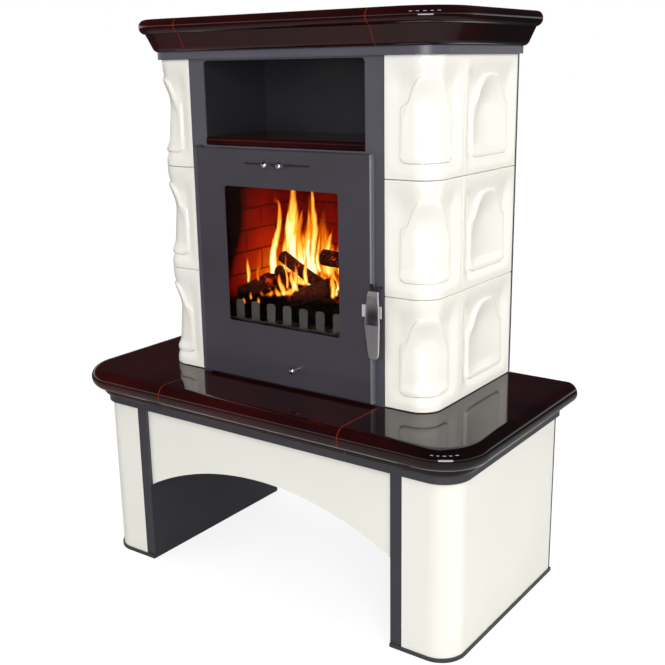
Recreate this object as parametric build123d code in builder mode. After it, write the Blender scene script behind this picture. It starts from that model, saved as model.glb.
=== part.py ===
"""Tiled wood stove standing on a bench with an open wood store.

Millimetres, +Z up, front towards -Y.  The origin is on the floor, in the middle of the whole
stove's plan.  Depths are measured from the plane of the tile faces, called face_y.
"""
import os

from build123d import *

os.makedirs("parts", exist_ok=True)

# ---------------------------------------------------------------- driving dimensions
margin = 1.0                 # spare length on cutting tools and hidden edges

# body
body_half = 344.0            # half width over the tiles
body_depth = 345.0           # tile face to the back plane
shell_half = 212.0           # half width of the firebox, which the door and the steel front follow
front_border = 28.0          # steel front beyond the firebox
tile_joint = 1.5
tile_rows = 3
tile_depth = 28.0
corner_radius = 46.0         # rounded corner of the corner tiles
corner_side = 117.0          # length of a corner tile's side leg
strip_reach = 6.5            # rear corner strip seen from the side
sheet = 3.0                  # steel sheet of the casing
thin_sheet = 2.0             # steel sheet of liners

# bench
bench_height = 447.0         # floor to the top of the bench
slab_height = 64.0
band_height = 15.0           # steel band under the slab and under the cornice
band_proud = 8.0             # the bands stand out this much
leg_half = 456.0             # half width over the leg panels
leg_inner = 322.0            # half width of the wood store
leg_strip = 25.5             # steel strip on the leg's front
leg_reach = 109.5            # leg face ahead of the tile face
leg_radius = 52.0
rim_height = 8.0             # steel rim round the leg's foot
rim_proud = 3.5
rim_gap = 0.5                # rim to leg panel
arch_spring = 184.0          # height of the arch at the legs
arch_crown = 267.0           # height of the arch in the middle
arch_setback = 7.5           # arch panel behind the leg face
panel_sheet = 3.0            # ivory enamelled sheet
slab_joint_x = 232.0         # joints of the bench top and of the cornice
slab_joint = 1.2
slab_wall = 16.0
slab_gap = 1.0               # slab to body all round

# bench top edge: distances beyond the leg face, heights above the band
slab_nose = 45.0
slab_nose_rise = 43.0
slab_foot = 9.0
slab_bend = 16.0
slab_bend_rise = 4.0
slab_shank = 19.0
slab_shank_rise = 13.0
slab_shank_top = 20.0
slab_under = 36.0
slab_under_rise = 23.0
slab_top_edge = 22.0

# cornice edge: distances beyond the tile face, heights above the band
cornice_height = 66.0
cornice_radius = 54.0
cornice_width = 45.0         # inner edge of the cornice behind the tile face
cornice_nose = 48.0
cornice_nose_rise = 48.5
cornice_foot = 8.0
cornice_bend = 15.0
cornice_bend_rise = 2.0
cornice_step = 21.0
cornice_step_rise = 8.5
cornice_cove = 27.0
cornice_cove_rise = 21.0
cornice_lip = 35.0
cornice_lip_rise = 36.5
cornice_top_edge = 31.0
ledge_wide = 14.0
ledge_drop = 12.0
vent_half = 150.0
vent_rows = 5
vent_pitch = 26.0
vent_high = 10.0

# niche
niche_over = 3.4             # niche floor above the door
niche_drop = 3.5             # niche roof below the tiles' top
niche_border = 13.0          # niche inside the firebox width
niche_depth = 197.0
niche_radius = 8.0
shelf_thick = 17.0

# door
door_over = 8.0              # door beyond the firebox on each side
door_rise = 4.6              # above the bench top
door_height = 489.0
door_extra = 42.0            # door beyond two rows of tiles
door_proud = 14.0            # door face ahead of the tile face
door_gap = 4.0               # back of the door's liner ahead of the tile face
door_rim_gap = 1.2           # rim of the door ahead of the tile face
door_round = 3.5             # rolled front edges
door_sheet = 2.0
opening_border = 6.0         # opening in the front panel inside the firebox width
opening_rise = 7.0
opening_border_z = 16.0      # opening lower than the door
window_border = 76.0         # door face beside the window
window_rise = 130.0
window_frame = 202.0         # door face above and below the window
window_radius = 6.0
glass_lap = 20.0             # glass hidden behind the door face
glass_thick = 4.0
gasket_thick = 2.5
gasket_width = 16.0
liner_sheet = 1.5
liner_lap = 8.0              # liner over the glass edge
liner_screw_edge = 8.0
liner_screw_near = 60.0
seal_width = 12.0
seal_inset = 5.0
seal_corner = 12.0
seal_inner_corner = 4.0
seal_round = 3.0

# toothed log guard
guard_y = 2.0                # front of the log guard behind the tile face
guard_thick = 2.0
guard_lap = 30.0             # log guard beyond the window
guard_slots = 8
guard_slot = 21.2
guard_end = 4.4              # outer tooth beyond half a pitch
guard_drop = 29.0            # lower edge below the window
guard_slot_rise = 3.0        # slots above the window's lower edge
guard_height = 72.0
guard_tooth_round = 6.0
guard_slot_round = 4.0

# hinge
hinge_edge = 4.0             # hinge axis inside the door's edge
hinge_inset = 5.4            # hinge axis behind the door face
hinge_pin = 5.0              # diameter
hinge_lug = 2.5
pin_clearance = 0.05

# air controls
knob_diameter = 14.0
knob_reach = 15.6            # middle of a knob ahead of the door face
stem_diameter = 4.0
air_slot_x = -3.3
air_slot_drop = 28.6         # below the door's upper edge
air_slot_high = 4.6
air_knob_x = 18.3            # upper knobs left and right of the slot's middle
air_travel = 60.0
slide_width = 82.0
slide_middle_gap = 2.3
slide_high = 22.0
slide_sheet = 1.5
slide_play = 0.3
valve_x = 34.5
valve_rise = 48.0
valve_bore = 15.0            # radius of the air hole in the liner
valve_disc = 19.0
valve_rod = 6.0

# handle and latch: places beyond the door's edge, heights above the pivot
latch_out = 11.0
latch_drop = 298.6           # pivot below the door's upper edge
plate_lap = 21.0
plate_out = 23.0
plate_high = 24.0
plate_thick = 2.0
hook_thick = 2.0
hook_reach = 52.0
hook_half = 4.0
hook_lean = 9.6              # degrees left of upright
latch_play = 0.2
lever_out = 7.5
lever_thick = 4.0
lever_above = 42.0
lever_waist_below = 23.0
lever_below = 92.0
lever_end_width = 23.0
lever_waist_width = 32.0
lever_waist_lean = 2.0       # the waist swells more towards the door
stud_out = 14.0
stud_above = 46.0
stud_radius = 2.5
stud_head = 6.0              # radius
stud_head_thick = 1.8
shaft_diameter = 8.0

# firebox
shell_depth = 300.0          # back of the shell behind the tile face
shell_sheet = 4.0
flange_y = 8.0               # sealing flange behind the tile face
flange_width = 27.0
flange_rise = 27.0           # opening of the flange above the bench top
flange_drop = 35.6           # below the door's upper edge
ash_shelf_rise = 24.0
hearth_rise = 83.0
brick_thick = 28.0
floor_brick = 25.0
brick_drop = 70.6            # top of the lining below the door's upper edge
brick_gap = 0.5
grate_inset = 94.0           # grate inside the firebox width
grate_front = 70.0
grate_back = 220.0
grate_thick = 16.0
grate_slots = 9
grate_rest = 12.0            # grate lying on the hearth plate
grate_edge = 10.0
grate_bar_end = 15.0
baffle_thick = 22.0
baffle_front = 85.0
baffle_chamfer = 5.0
pan_inset = 92.0
pan_depth = 235.0
pan_height = 38.0
pan_sheet = 1.5
pan_set_back = 6.0           # ash pan behind the sealing flange
pan_lip = 5.0
duct_half = 95.0
duct_front = 212.0
duct_drop = 20.0             # top of the duct below the top plate
duct_room = 5.0
spigot_radius = 75.0
spigot_rise = 76.0           # above the niche floor
spigot_wall = 2.0
spigot_stop = 2.0            # shoulder that stops the flue pipe at the back plane
spigot_reach = 50.0          # beyond the back plane
log_radius = 36.0
top_log_radius = 30.0
log_border = 67.0            # log ends inside the firebox width
log_front = 95.0
log_back = 185.0
top_log_length = 190.0
top_log_left = 80.0
top_log_left_turn = 62.0
top_log_right = 72.0
top_log_right_turn = 108.0

# ---------------------------------------------------------------- places worked out
total_depth = slab_nose + leg_reach + body_depth + spigot_reach
face_y = -total_depth / 2 + slab_nose + leg_reach
back_y = face_y + body_depth
leg_y = face_y - leg_reach
slab_low = bench_height - slab_height
band_low = slab_low - band_height
tile_pitch = (door_height - door_extra) / 2
tile_height = tile_pitch - tile_joint
tiles_top = bench_height + tile_rows * tile_pitch
cornice_low = tiles_top + band_height
cornice_top = cornice_low + cornice_height
door_y = face_y - door_proud
door_back_y = face_y - door_gap
door_rim_y = face_y - door_rim_gap
sheet_back_y = door_y + door_sheet
glass_y = sheet_back_y + gasket_thick
liner_y = glass_y + glass_thick
hinge_y = door_y + hinge_inset
shell_front = face_y + sheet
shell_back = face_y + shell_depth
front_half = shell_half + front_border
niche_half = shell_half - niche_border
door_half = shell_half + door_over
door_low = bench_height + door_rise
door_high = door_low + door_height
niche_floor = door_high + niche_over
niche_roof = tiles_top - niche_drop
shell_top = niche_floor - thin_sheet
opening_half = shell_half - opening_border
opening_low = bench_height + opening_rise
opening_high = opening_low + door_height - opening_border_z
window_half = door_half - window_border
window_low = bench_height + window_rise
window_high = window_low + door_height - window_frame
guard_half = window_half + guard_lap
guard_pitch = 2 * (guard_half - guard_end) / guard_slots
guard_low = window_low - guard_drop
guard_slot_low = window_low + guard_slot_rise
guard_high = guard_low + guard_height
hinge_x = hinge_edge - door_half
air_slot_z = door_high - air_slot_drop
valve_z = bench_height + valve_rise
latch_x = door_half + latch_out
latch_z = door_high - latch_drop
plate_left = door_half - plate_lap
plate_right = door_half + plate_out
lever_x = door_half + lever_out
lever_top = latch_z + lever_above
lever_waist = latch_z - lever_waist_below
lever_low = latch_z - lever_below
stud_x = door_half + stud_out
stud_z = latch_z + stud_above
flange_half = shell_half - flange_width
flange_low = bench_height + flange_rise
flange_high = door_high - flange_drop
ash_shelf = bench_height + ash_shelf_rise
hearth_z = bench_height + hearth_rise
brick_top = door_high - brick_drop
grate_half = shell_half - grate_inset
pan_half = shell_half - pan_inset
top_plate_z = cornice_top - ledge_drop
duct_top = top_plate_z - duct_drop
spigot_z = niche_floor + spigot_rise
liner_screw_rows = [(door_low + door_high) / 2 + step * liner_screw_near for step in (-3, -1, 1, 3)]


def save(piece, name):
    """Label a finished piece and write it."""
    piece.part.label = name
    export_step(piece.part, f"parts/{name}.step")


def plan(half_width, front, back, radius, mode=Mode.ADD):
    """Plan outline with a straight back and two rounded front corners."""
    with BuildLine() as outline:
        FilletPolyline(
            (-half_width, back),
            (-half_width, front),
            (half_width, front),
            (half_width, back),
            radius=radius,
        )
        Line((half_width, back), (-half_width, back))
    make_face(outline.edges(), mode=mode)


def block(x_low, x_high, y_low, y_high, mode=Mode.ADD):
    """Rectangle between two corners."""
    with Locations(((x_low + x_high) / 2, (y_low + y_high) / 2)):
        Rectangle(x_high - x_low, y_high - y_low, mode=mode)


def side_block(side, x_low, x_high, y_low, y_high):
    """Rectangle between two distances from the middle, on the side given as -1 or 1."""
    block(min(side * x_low, side * x_high), max(side * x_low, side * x_high), y_low, y_high)


def front_plane(y):
    """Plane facing the front, with local x along +X and local y along +Z."""
    return Plane(origin=(0, y, 0), x_dir=(1, 0, 0), z_dir=(0, -1, 0))


def edge_path(half_width, front, back, radius, z):
    """Path along the left side, the front and the right side."""
    with BuildLine() as path:
        FilletPolyline(
            (-half_width, back, z),
            (-half_width, front, z),
            (half_width, front, z),
            (half_width, back, z),
            radius=radius,
        )
    return path.wires()[0]


def edge_plane(half_width, back, z):
    """Section plane at the start of an edge path, with local x pointing outwards."""
    return Plane(origin=(-half_width, back, z), x_dir=(-1, 0, 0), z_dir=(0, 1, 0))


def both_sides(piece, name):
    """Write a right hand piece and its mirror image."""
    save(piece, f"{name}_right")
    with BuildPart() as left:
        add(mirror(piece.part, about=Plane.YZ))
    save(left, f"{name}_left")


# ---------------------------------------------------------------- bench legs
leg_top = slab_low - sheet

with BuildPart() as leg_frame:
    with BuildSketch(Plane.XY):
        plan(leg_half + rim_proud, leg_y - rim_proud, back_y, leg_radius + rim_proud)
        block(-leg_half - rim_proud, leg_inner, leg_y - rim_proud, back_y, mode=Mode.SUBTRACT)
    extrude(amount=sheet)
    with BuildSketch(Plane.XY):
        plan(leg_half + rim_proud, leg_y - rim_proud, back_y, leg_radius + rim_proud)
        plan(leg_half + rim_gap, leg_y - rim_gap, back_y, leg_radius + rim_gap, mode=Mode.SUBTRACT)
        block(-leg_half - rim_proud, leg_inner, leg_y - rim_proud, back_y, mode=Mode.SUBTRACT)
    extrude(amount=rim_height)
    with BuildSketch(Plane.XY):
        block(leg_inner, leg_inner + sheet, leg_y, back_y)
        block(leg_inner, leg_inner + leg_strip, leg_y, leg_y + sheet)
        block(leg_inner, leg_half, back_y - sheet, back_y)
        block(leg_half - sheet, leg_half, back_y - strip_reach, back_y)
    extrude(amount=leg_top)
    with BuildSketch(Plane.XY.offset(leg_top - sheet)):
        plan(leg_half - sheet, leg_y + sheet, back_y, leg_radius - sheet)
        block(-leg_half, leg_inner, leg_y, back_y, mode=Mode.SUBTRACT)
    extrude(amount=sheet)
both_sides(leg_frame, "leg_frame")

with BuildPart() as leg_panel:
    with BuildSketch(Plane.XY.offset(sheet)):
        plan(leg_half, leg_y, back_y - strip_reach, leg_radius)
        plan(
            leg_half - panel_sheet,
            leg_y + panel_sheet,
            back_y - strip_reach,
            leg_radius - panel_sheet,
            mode=Mode.SUBTRACT,
        )
        block(-leg_half, leg_inner + leg_strip, leg_y, back_y, mode=Mode.SUBTRACT)
    extrude(amount=band_low - sheet)
both_sides(leg_panel, "leg_panel")

# ---------------------------------------------------------------- arch panel
arch_y = leg_y + arch_setback
with BuildPart() as arch_panel:
    with BuildSketch(front_plane(arch_y)):
        with BuildLine():
            ThreePointArc((-leg_inner, arch_spring), (0, arch_crown), (leg_inner, arch_spring))
            Polyline(
                (leg_inner, arch_spring),
                (leg_inner, leg_top),
                (-leg_inner, leg_top),
                (-leg_inner, arch_spring),
            )
        make_face()
    extrude(amount=-panel_sheet)
save(arch_panel, "arch_panel")

# ---------------------------------------------------------------- bench tray
bearer_x = 185.0
bearer_wide = 30.0
bearer_high = 40.0
air_hole_half = 100.0
air_hole_front = face_y + air_hole_half
air_hole_back = back_y - air_hole_half
with BuildPart() as bench_tray:
    with BuildSketch(Plane.XY.offset(band_low)):
        plan(leg_half + band_proud, leg_y - band_proud, back_y, leg_radius + band_proud)
        plan(
            leg_half + band_proud - sheet,
            leg_y - band_proud + sheet,
            back_y - sheet,
            leg_radius + band_proud - sheet,
            mode=Mode.SUBTRACT,
        )
        block(-leg_inner, leg_inner, back_y - sheet, back_y)
        block(-leg_half, leg_half, back_y - sheet, back_y, mode=Mode.SUBTRACT)
    extrude(amount=band_height)
    with BuildSketch(Plane.XY.offset(leg_top)):
        plan(leg_half + band_proud, leg_y - band_proud, back_y, leg_radius + band_proud)
        block(-air_hole_half, air_hole_half, air_hole_front, air_hole_back, mode=Mode.SUBTRACT)
    extrude(amount=sheet)
    with BuildSketch(Plane.XY.offset(leg_top - bearer_high)):
        for side in (-1, 1):
            side_block(side, bearer_x, bearer_x + bearer_wide, arch_y + panel_sheet, back_y - sheet)
        block(-leg_inner, leg_inner, back_y - sheet, back_y)
    extrude(amount=bearer_high)
save(bench_tray, "bench_tray")

# ---------------------------------------------------------------- bench slab
with BuildPart() as slab:
    with BuildSketch(edge_plane(leg_half, back_y, slab_low)):
        with BuildLine():
            inner = -leg_radius / 2
            shank = (slab_shank, slab_shank_rise)
            under = (slab_under, slab_under_rise)
            Line((inner, 0), (slab_foot, 0))
            ThreePointArc((slab_foot, 0), (slab_bend, slab_bend_rise), shank)
            Polyline(shank, (slab_shank, slab_shank_top), under)
            ThreePointArc(under, (slab_nose, slab_nose_rise), (slab_top_edge, slab_height))
            Polyline((slab_top_edge, slab_height), (inner, slab_height), (inner, 0))
        make_face()
    sweep(path=edge_path(leg_half, leg_y, back_y, leg_radius, slab_low))
    with BuildSketch(Plane.XY.offset(slab_low)):
        plan(leg_half - margin, leg_y + margin, back_y, leg_radius - margin)
    extrude(amount=slab_height)
    with BuildSketch(Plane.XY.offset(slab_low)):
        plan(body_half + slab_gap, face_y - slab_gap, back_y, corner_radius + slab_gap)
    extrude(amount=slab_height, mode=Mode.SUBTRACT)


def slab_piece(x_low, x_high):
    """One piece of the bench top, hollow underneath."""
    with BuildPart() as piece:
        add(slab.part)
        with BuildSketch(Plane.XY.offset(slab_low)):
            block(x_low, x_high, leg_y - slab_nose - margin, back_y)
        extrude(amount=slab_height, mode=Mode.INTERSECT)
        with BuildSketch(Plane.XY.offset(slab_low)):
            wall = slab_wall / 2
            plan(leg_half - wall, leg_y + wall, back_y - slab_wall, leg_radius - wall)
            plan(
                body_half + slab_gap + slab_wall,
                face_y - slab_gap - slab_wall,
                back_y,
                corner_radius + slab_gap + slab_wall,
                mode=Mode.SUBTRACT,
            )
            block(x_low + slab_wall, x_high - slab_wall, leg_y, back_y, mode=Mode.INTERSECT)
        extrude(amount=slab_height - slab_wall, mode=Mode.SUBTRACT)
    return piece


slab_end = leg_half + slab_nose + margin
slab_middle = slab_piece(-slab_joint_x + slab_joint / 2, slab_joint_x - slab_joint / 2)
save(slab_middle, "bench_slab_middle")
both_sides(slab_piece(slab_joint_x + slab_joint / 2, slab_end), "bench_slab")

# ---------------------------------------------------------------- body frame
base_inset = 1.0
frame_x = body_half - tile_depth
frame_setback = 10.5
flange_wide = 22.0
with BuildPart() as body_frame:
    with BuildSketch(Plane.XY.offset(slab_low)):
        plan(body_half - base_inset, face_y + base_inset, back_y, corner_radius - base_inset)
        plan(
            body_half - base_inset - sheet,
            face_y + base_inset + sheet,
            back_y - sheet,
            corner_radius - base_inset - sheet,
            mode=Mode.SUBTRACT,
        )
    extrude(amount=slab_height)
    with BuildSketch(Plane.XY.offset(bench_height - sheet)):
        plan(body_half - base_inset, face_y + base_inset, back_y, corner_radius - base_inset)
        block(-air_hole_half, air_hole_half, air_hole_front, air_hole_back, mode=Mode.SUBTRACT)
    extrude(amount=sheet)
    with BuildSketch(Plane.XY.offset(bench_height - margin)):
        for side in (-1, 1):
            side_front_edge = face_y + tile_depth + frame_setback
            side_block(side, frame_x - thin_sheet, frame_x, side_front_edge, back_y - sheet)
            side_block(side, frame_x - flange_wide, frame_x, back_y - sheet - thin_sheet, back_y - sheet)
    extrude(amount=tiles_top - bench_height + margin)
save(body_frame, "body_frame")

# ---------------------------------------------------------------- front panel
return_depth = 25.0
with BuildPart() as front_panel:
    with BuildSketch(front_plane(face_y)):
        block(-front_half, front_half, bench_height, tiles_top)
        block(-opening_half, opening_half, opening_low, opening_high, mode=Mode.SUBTRACT)
        block(-niche_half, niche_half, niche_floor, niche_roof, mode=Mode.SUBTRACT)
    extrude(amount=-sheet)
    fillet(
        front_panel.edges().filter_by(Axis.Y).group_by(Axis.Z)[-2].sort_by(Axis.X),
        niche_radius,
    )
    with BuildSketch(Plane.XY.offset(bench_height)):
        for side in (-1, 1):
            side_block(side, front_half - thin_sheet, front_half, face_y + sheet / 2, face_y + return_depth)
    extrude(amount=tiles_top - bench_height)
save(front_panel, "front_panel")

# ---------------------------------------------------------------- tiles
tile_gap = 0.8
tile_border = 13.0
field_depth = 8.0
field_low = 22.0
field_high = 14.0
panel_low = 31.0             # lower edge of the raised panel above the tile's lower edge
panel_top = 184.0
panel_shoulder = 124.0
shoulder_share = 0.35        # bend of the shoulder, as a share of the step in width
shoulder_bend = 8.0          # and its height
shoulder_high = 16.0
shoulder_slope = -0.1
panel_half = 62.0
neck_half = 42.0
side_panel_share = 1.2       # a side tile's panel is this much wider
panel_rise = 5.5
scoop_depth = 14.0
scoop_low = 29.0             # hollow of a corner tile's panel, from here
scoop_bend = 45.0
scoop_bend_depth = 8.4
scoop_high = 171.0           # to here
scoop_tool = 30.0
scoop_axis = 41.0            # axis of the corner panel's hollow behind the corner's own axis
dish_depth = 9.0             # hollow of a side tile's panel below the tile face
dish_radius = 340.0
pocket_depth = 8.0
side_pocket = 4.0
inner_radius = 10.0          # hollow inner corner of a corner tile
corner_share = 0.82          # raised panel seen along the corner's diagonal
neck_share = 0.9
pocket_border = 14.0


def bottle(half, neck):
    """Raised panel outline: wide body, drawn-in shoulders and an arched neck, from local (0, 0)."""
    with BuildLine() as outline:
        Polyline((-half, panel_shoulder), (-half, panel_low), (half, panel_low), (half, panel_shoulder))
        right = Spline(
            (half, panel_shoulder),
            (neck + (half - neck) * shoulder_share, panel_shoulder + shoulder_bend),
            (neck, panel_shoulder + shoulder_high),
            tangents=((0, 1), (shoulder_slope, 1)),
        )
        ThreePointArc(
            (neck, panel_shoulder + shoulder_high),
            (0, panel_top),
            (-neck, panel_shoulder + shoulder_high),
        )
        mirror(right, about=Plane.YZ)
    make_face(outline.edges())


def scoop(outer):
    """Profile that hollows the raised panel: local x is height, local y is outwards."""
    with BuildLine() as outline:
        Spline(
            (scoop_low, outer),
            (scoop_bend, outer - scoop_bend_depth),
            (panel_shoulder, outer - scoop_depth),
            (scoop_high, outer),
        )
        Polyline(
            (scoop_low, outer),
            (scoop_low, outer + scoop_tool),
            (scoop_high, outer + scoop_tool),
            (scoop_high, outer),
        )
    make_face(outline.edges())


side_x = body_half
side_front = face_y + corner_side + tile_joint
side_back = back_y - strip_reach
side_mid = (side_front + side_back) / 2


def tile_plan(x_in, x_out, front, side, depth, radius):
    """Plan of a corner tile: two legs round one rounded outer corner."""
    with BuildLine() as outline:
        FilletPolyline((x_in, front), (x_out, front), (x_out, side), radius=radius)
        Line((x_out, side), (x_out - depth, side))
        FilletPolyline(
            (x_out - depth, side),
            (x_out - depth, front + depth),
            (x_in, front + depth),
            radius=inner_radius,
        )
        Line((x_in, front + depth), (x_in, front))
    make_face(outline.edges())


corner_in = front_half + tile_gap
corner_end = face_y + corner_side
corner_origin = (body_half - corner_radius, face_y + corner_radius, 0)
diagonal = Plane(origin=corner_origin, x_dir=(1, 1, 0), z_dir=(1, -1, 0))
profile_plane = Plane(origin=corner_origin, x_dir=(0, 0, 1), z_dir=(1, 1, 0))

scoop_origin = diagonal.origin - diagonal.z_dir * scoop_axis
with BuildPart() as corner_scoop:
    with BuildSketch(profile_plane):
        scoop(corner_radius)
    revolve(axis=Axis(scoop_origin, (0, 0, 1)))

with BuildPart() as corner_boss:
    with BuildSketch(Plane.XY):
        tile_plan(
            corner_in + tile_border,
            body_half - field_depth + panel_rise,
            face_y + field_depth - panel_rise,
            corner_end - tile_border,
            tile_depth / 2,
            corner_radius,
        )
    extrude(amount=tile_height)
    with BuildSketch(diagonal):
        bottle(panel_half * corner_share, neck_half * neck_share)
    extrude(amount=2 * corner_radius, mode=Mode.INTERSECT)
    add(corner_scoop.part, mode=Mode.SUBTRACT)

with BuildPart() as corner_tile:
    with BuildSketch(Plane.XY):
        tile_plan(corner_in, body_half, face_y, corner_end, tile_depth, corner_radius)
    extrude(amount=tile_height)
    with BuildSketch(Plane.XY.offset(field_low)):
        block(corner_in + tile_border, body_half + margin, face_y - margin, corner_end - tile_border)
        with BuildLine():
            FilletPolyline(
                (corner_in, face_y + field_depth),
                (body_half - field_depth, face_y + field_depth),
                (body_half - field_depth, corner_end),
                radius=corner_radius - field_depth,
            )
            Polyline(
                (body_half - field_depth, corner_end),
                (corner_in, corner_end),
                (corner_in, face_y + field_depth),
            )
        make_face(mode=Mode.SUBTRACT)
    extrude(amount=tile_height - field_low - field_high, mode=Mode.SUBTRACT)
    add(corner_boss.part)
    with BuildSketch(Plane.XY.offset(pocket_border)):
        block(
            corner_in + pocket_border,
            body_half - tile_depth + pocket_depth,
            face_y + tile_depth - pocket_depth,
            corner_end - pocket_border,
        )
        block(
            corner_in + pocket_border,
            body_half - tile_depth - inner_radius - margin,
            face_y + tile_depth + inner_radius + margin,
            corner_end - pocket_border,
            mode=Mode.SUBTRACT,
        )
    extrude(amount=tile_height - 2 * pocket_border, mode=Mode.SUBTRACT)

side_plane = Plane(origin=(side_x - field_depth, side_mid, 0), x_dir=(0, 1, 0), z_dir=(1, 0, 0))

with BuildPart() as side_boss:
    with BuildSketch(side_plane.offset(-tile_depth / 2)):
        bottle(panel_half * side_panel_share, neck_half * side_panel_share)
    extrude(amount=tile_depth / 2 + panel_rise)
    with Locations((side_x - dish_depth + dish_radius, side_mid, (panel_low + panel_top) / 2)):
        Sphere(dish_radius, mode=Mode.SUBTRACT)

with BuildPart() as side_tile:
    with BuildSketch(Plane.XY):
        block(side_x - tile_depth, side_x, side_front, side_back)
    extrude(amount=tile_height)
    with BuildSketch(Plane(origin=(side_x, side_mid, 0), x_dir=(0, 1, 0), z_dir=(1, 0, 0))):
        block(
            -(side_back - side_front) / 2 + tile_border,
            (side_back - side_front) / 2 - tile_border,
            field_low,
            tile_height - field_high,
        )
    extrude(amount=-field_depth, taper=35, mode=Mode.SUBTRACT)
    with BuildSketch(side_plane.offset(-tile_depth)):
        bottle(panel_half * side_panel_share, neck_half * side_panel_share)
    extrude(amount=tile_depth * 2, mode=Mode.SUBTRACT)
    add(side_boss.part)
    with BuildSketch(Plane.XY.offset(pocket_border)):
        block(
            side_x - tile_depth,
            side_x - tile_depth + side_pocket,
            side_front + pocket_border,
            side_back - pocket_border,
        )
    extrude(amount=tile_height - 2 * pocket_border, mode=Mode.SUBTRACT)

for row in range(tile_rows):
    row_low = bench_height + tile_joint + row * tile_pitch
    with BuildPart() as placed_corner:
        add(corner_tile.part.moved(Location((0, 0, row_low))))
    save(placed_corner, f"corner_tile_right_{row + 1}")
    with BuildPart() as mirrored_corner:
        add(mirror(placed_corner.part, about=Plane.YZ))
    save(mirrored_corner, f"corner_tile_left_{row + 1}")
    with BuildPart() as placed_side:
        add(side_tile.part.moved(Location((0, 0, row_low))))
    save(placed_side, f"side_tile_right_{row + 1}")
    with BuildPart() as mirrored_side:
        add(mirror(placed_side.part, about=Plane.YZ))
    save(mirrored_side, f"side_tile_left_{row + 1}")

# ---------------------------------------------------------------- tile rails
rail_inset = 10.0
with BuildPart() as tile_rails:
    for row in range(tile_rows):
        with BuildSketch(Plane.XY.offset(bench_height + row * tile_pitch)):
            plan(body_half - rail_inset, face_y + rail_inset, side_back, corner_radius - rail_inset)
            block(-corner_in, corner_in, face_y, back_y, mode=Mode.SUBTRACT)
            block(-frame_x, frame_x, face_y + tile_depth, back_y, mode=Mode.SUBTRACT)
        extrude(amount=tile_joint)
save(tile_rails, "tile_rails")

# ---------------------------------------------------------------- rear strips and rear cover
strip_wide = 33.0
notch = 5.0
rear_play = 0.3
with BuildPart() as rear_strip:
    with BuildSketch(Plane.XY.offset(bench_height)):
        block(body_half - strip_wide, body_half, back_y - sheet, back_y)
        block(body_half - sheet, body_half, side_back + rear_play, back_y)
    extrude(amount=tiles_top - bench_height)
    for row in range(1, tile_rows):
        with BuildSketch(Plane.XY.offset(bench_height + row * tile_pitch - notch / 2)):
            block(body_half - sheet, body_half, side_back, back_y - sheet)
        extrude(amount=notch, mode=Mode.SUBTRACT)
both_sides(rear_strip, "rear_strip")

cover_half = body_half - strip_wide - rear_play
screw_radius = 2.0
screw_head = 4.5
screw_head_high = 2.5
screw_head_round = 1.5
screw_edge = 9.0
screw_end = 25.0
screw_clearance = 0.1
screw_x = cover_half - screw_edge
screw_rows = 4
screw_first = bench_height + screw_end
screw_pitch = (tiles_top - bench_height - 2 * screw_end) / (screw_rows - 1)
screw_places = [
    (side * screw_x, screw_first + row * screw_pitch) for side in (-1, 1) for row in range(screw_rows)
]
spigot_hole = spigot_radius + spigot_stop + rear_play
with BuildPart() as rear_cover:
    with BuildSketch(front_plane(back_y)):
        block(-cover_half, cover_half, bench_height, tiles_top)
        with Locations((0, spigot_z)):
            Circle(spigot_hole, mode=Mode.SUBTRACT)
        with Locations(screw_places):
            Circle(screw_radius + screw_clearance, mode=Mode.SUBTRACT)
    extrude(amount=sheet)
save(rear_cover, "rear_cover")

with BuildPart() as rear_cover_screws:
    with BuildSketch(front_plane(back_y)):
        with Locations(screw_places):
            Circle(screw_head)
    extrude(amount=-screw_head_high)
    fillet(rear_cover_screws.edges().group_by(Axis.Y)[-1], screw_head_round)
    with BuildSketch(front_plane(back_y)):
        with Locations(screw_places):
            Circle(screw_radius)
    extrude(amount=sheet)
save(rear_cover_screws, "rear_cover_screws")

# ---------------------------------------------------------------- top band
with BuildPart() as top_band:
    with BuildSketch(Plane.XY.offset(tiles_top)):
        plan(body_half + band_proud, face_y - band_proud, back_y, corner_radius + band_proud)
        plan(
            body_half + band_proud - sheet,
            face_y - band_proud + sheet,
            back_y - sheet,
            corner_radius + band_proud - sheet,
            mode=Mode.SUBTRACT,
        )
    extrude(amount=band_height)
    for level in (tiles_top, cornice_low - thin_sheet):
        with BuildSketch(Plane.XY.offset(level)):
            plan(body_half + band_proud, face_y - band_proud, back_y, corner_radius + band_proud)
            block(-vent_half, vent_half, face_y + vent_half / 2, shell_back + duct_room, mode=Mode.SUBTRACT)
        extrude(amount=thin_sheet)
save(top_band, "top_band")

# ---------------------------------------------------------------- cornice
with BuildPart() as cornice:
    with BuildSketch(edge_plane(body_half, back_y, cornice_low)):
        with BuildLine():
            Polyline(
                (-cornice_width, cornice_height - ledge_drop),
                (-cornice_width, 0),
                (cornice_foot, 0),
            )
            step = (cornice_step, cornice_step_rise)
            lip = (cornice_lip, cornice_lip_rise)
            ThreePointArc((cornice_foot, 0), (cornice_bend, cornice_bend_rise), step)
            ThreePointArc(step, (cornice_cove, cornice_cove_rise), lip)
            ThreePointArc(lip, (cornice_nose, cornice_nose_rise), (cornice_top_edge, cornice_height))
            Polyline(
                (cornice_top_edge, cornice_height),
                (ledge_wide - cornice_width, cornice_height),
                (ledge_wide - cornice_width, cornice_height - ledge_drop),
                (-cornice_width, cornice_height - ledge_drop),
            )
        make_face()
    sweep(path=edge_path(body_half, face_y, back_y, cornice_radius, cornice_low))


def cornice_piece(x_low, x_high):
    """One piece of the cornice between two joint planes."""
    with BuildPart() as piece:
        add(cornice.part)
        with BuildSketch(Plane.XY.offset(cornice_low)):
            block(x_low, x_high, face_y - cornice_nose - margin, back_y)
        extrude(amount=cornice_height, mode=Mode.INTERSECT)
    return piece


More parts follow.
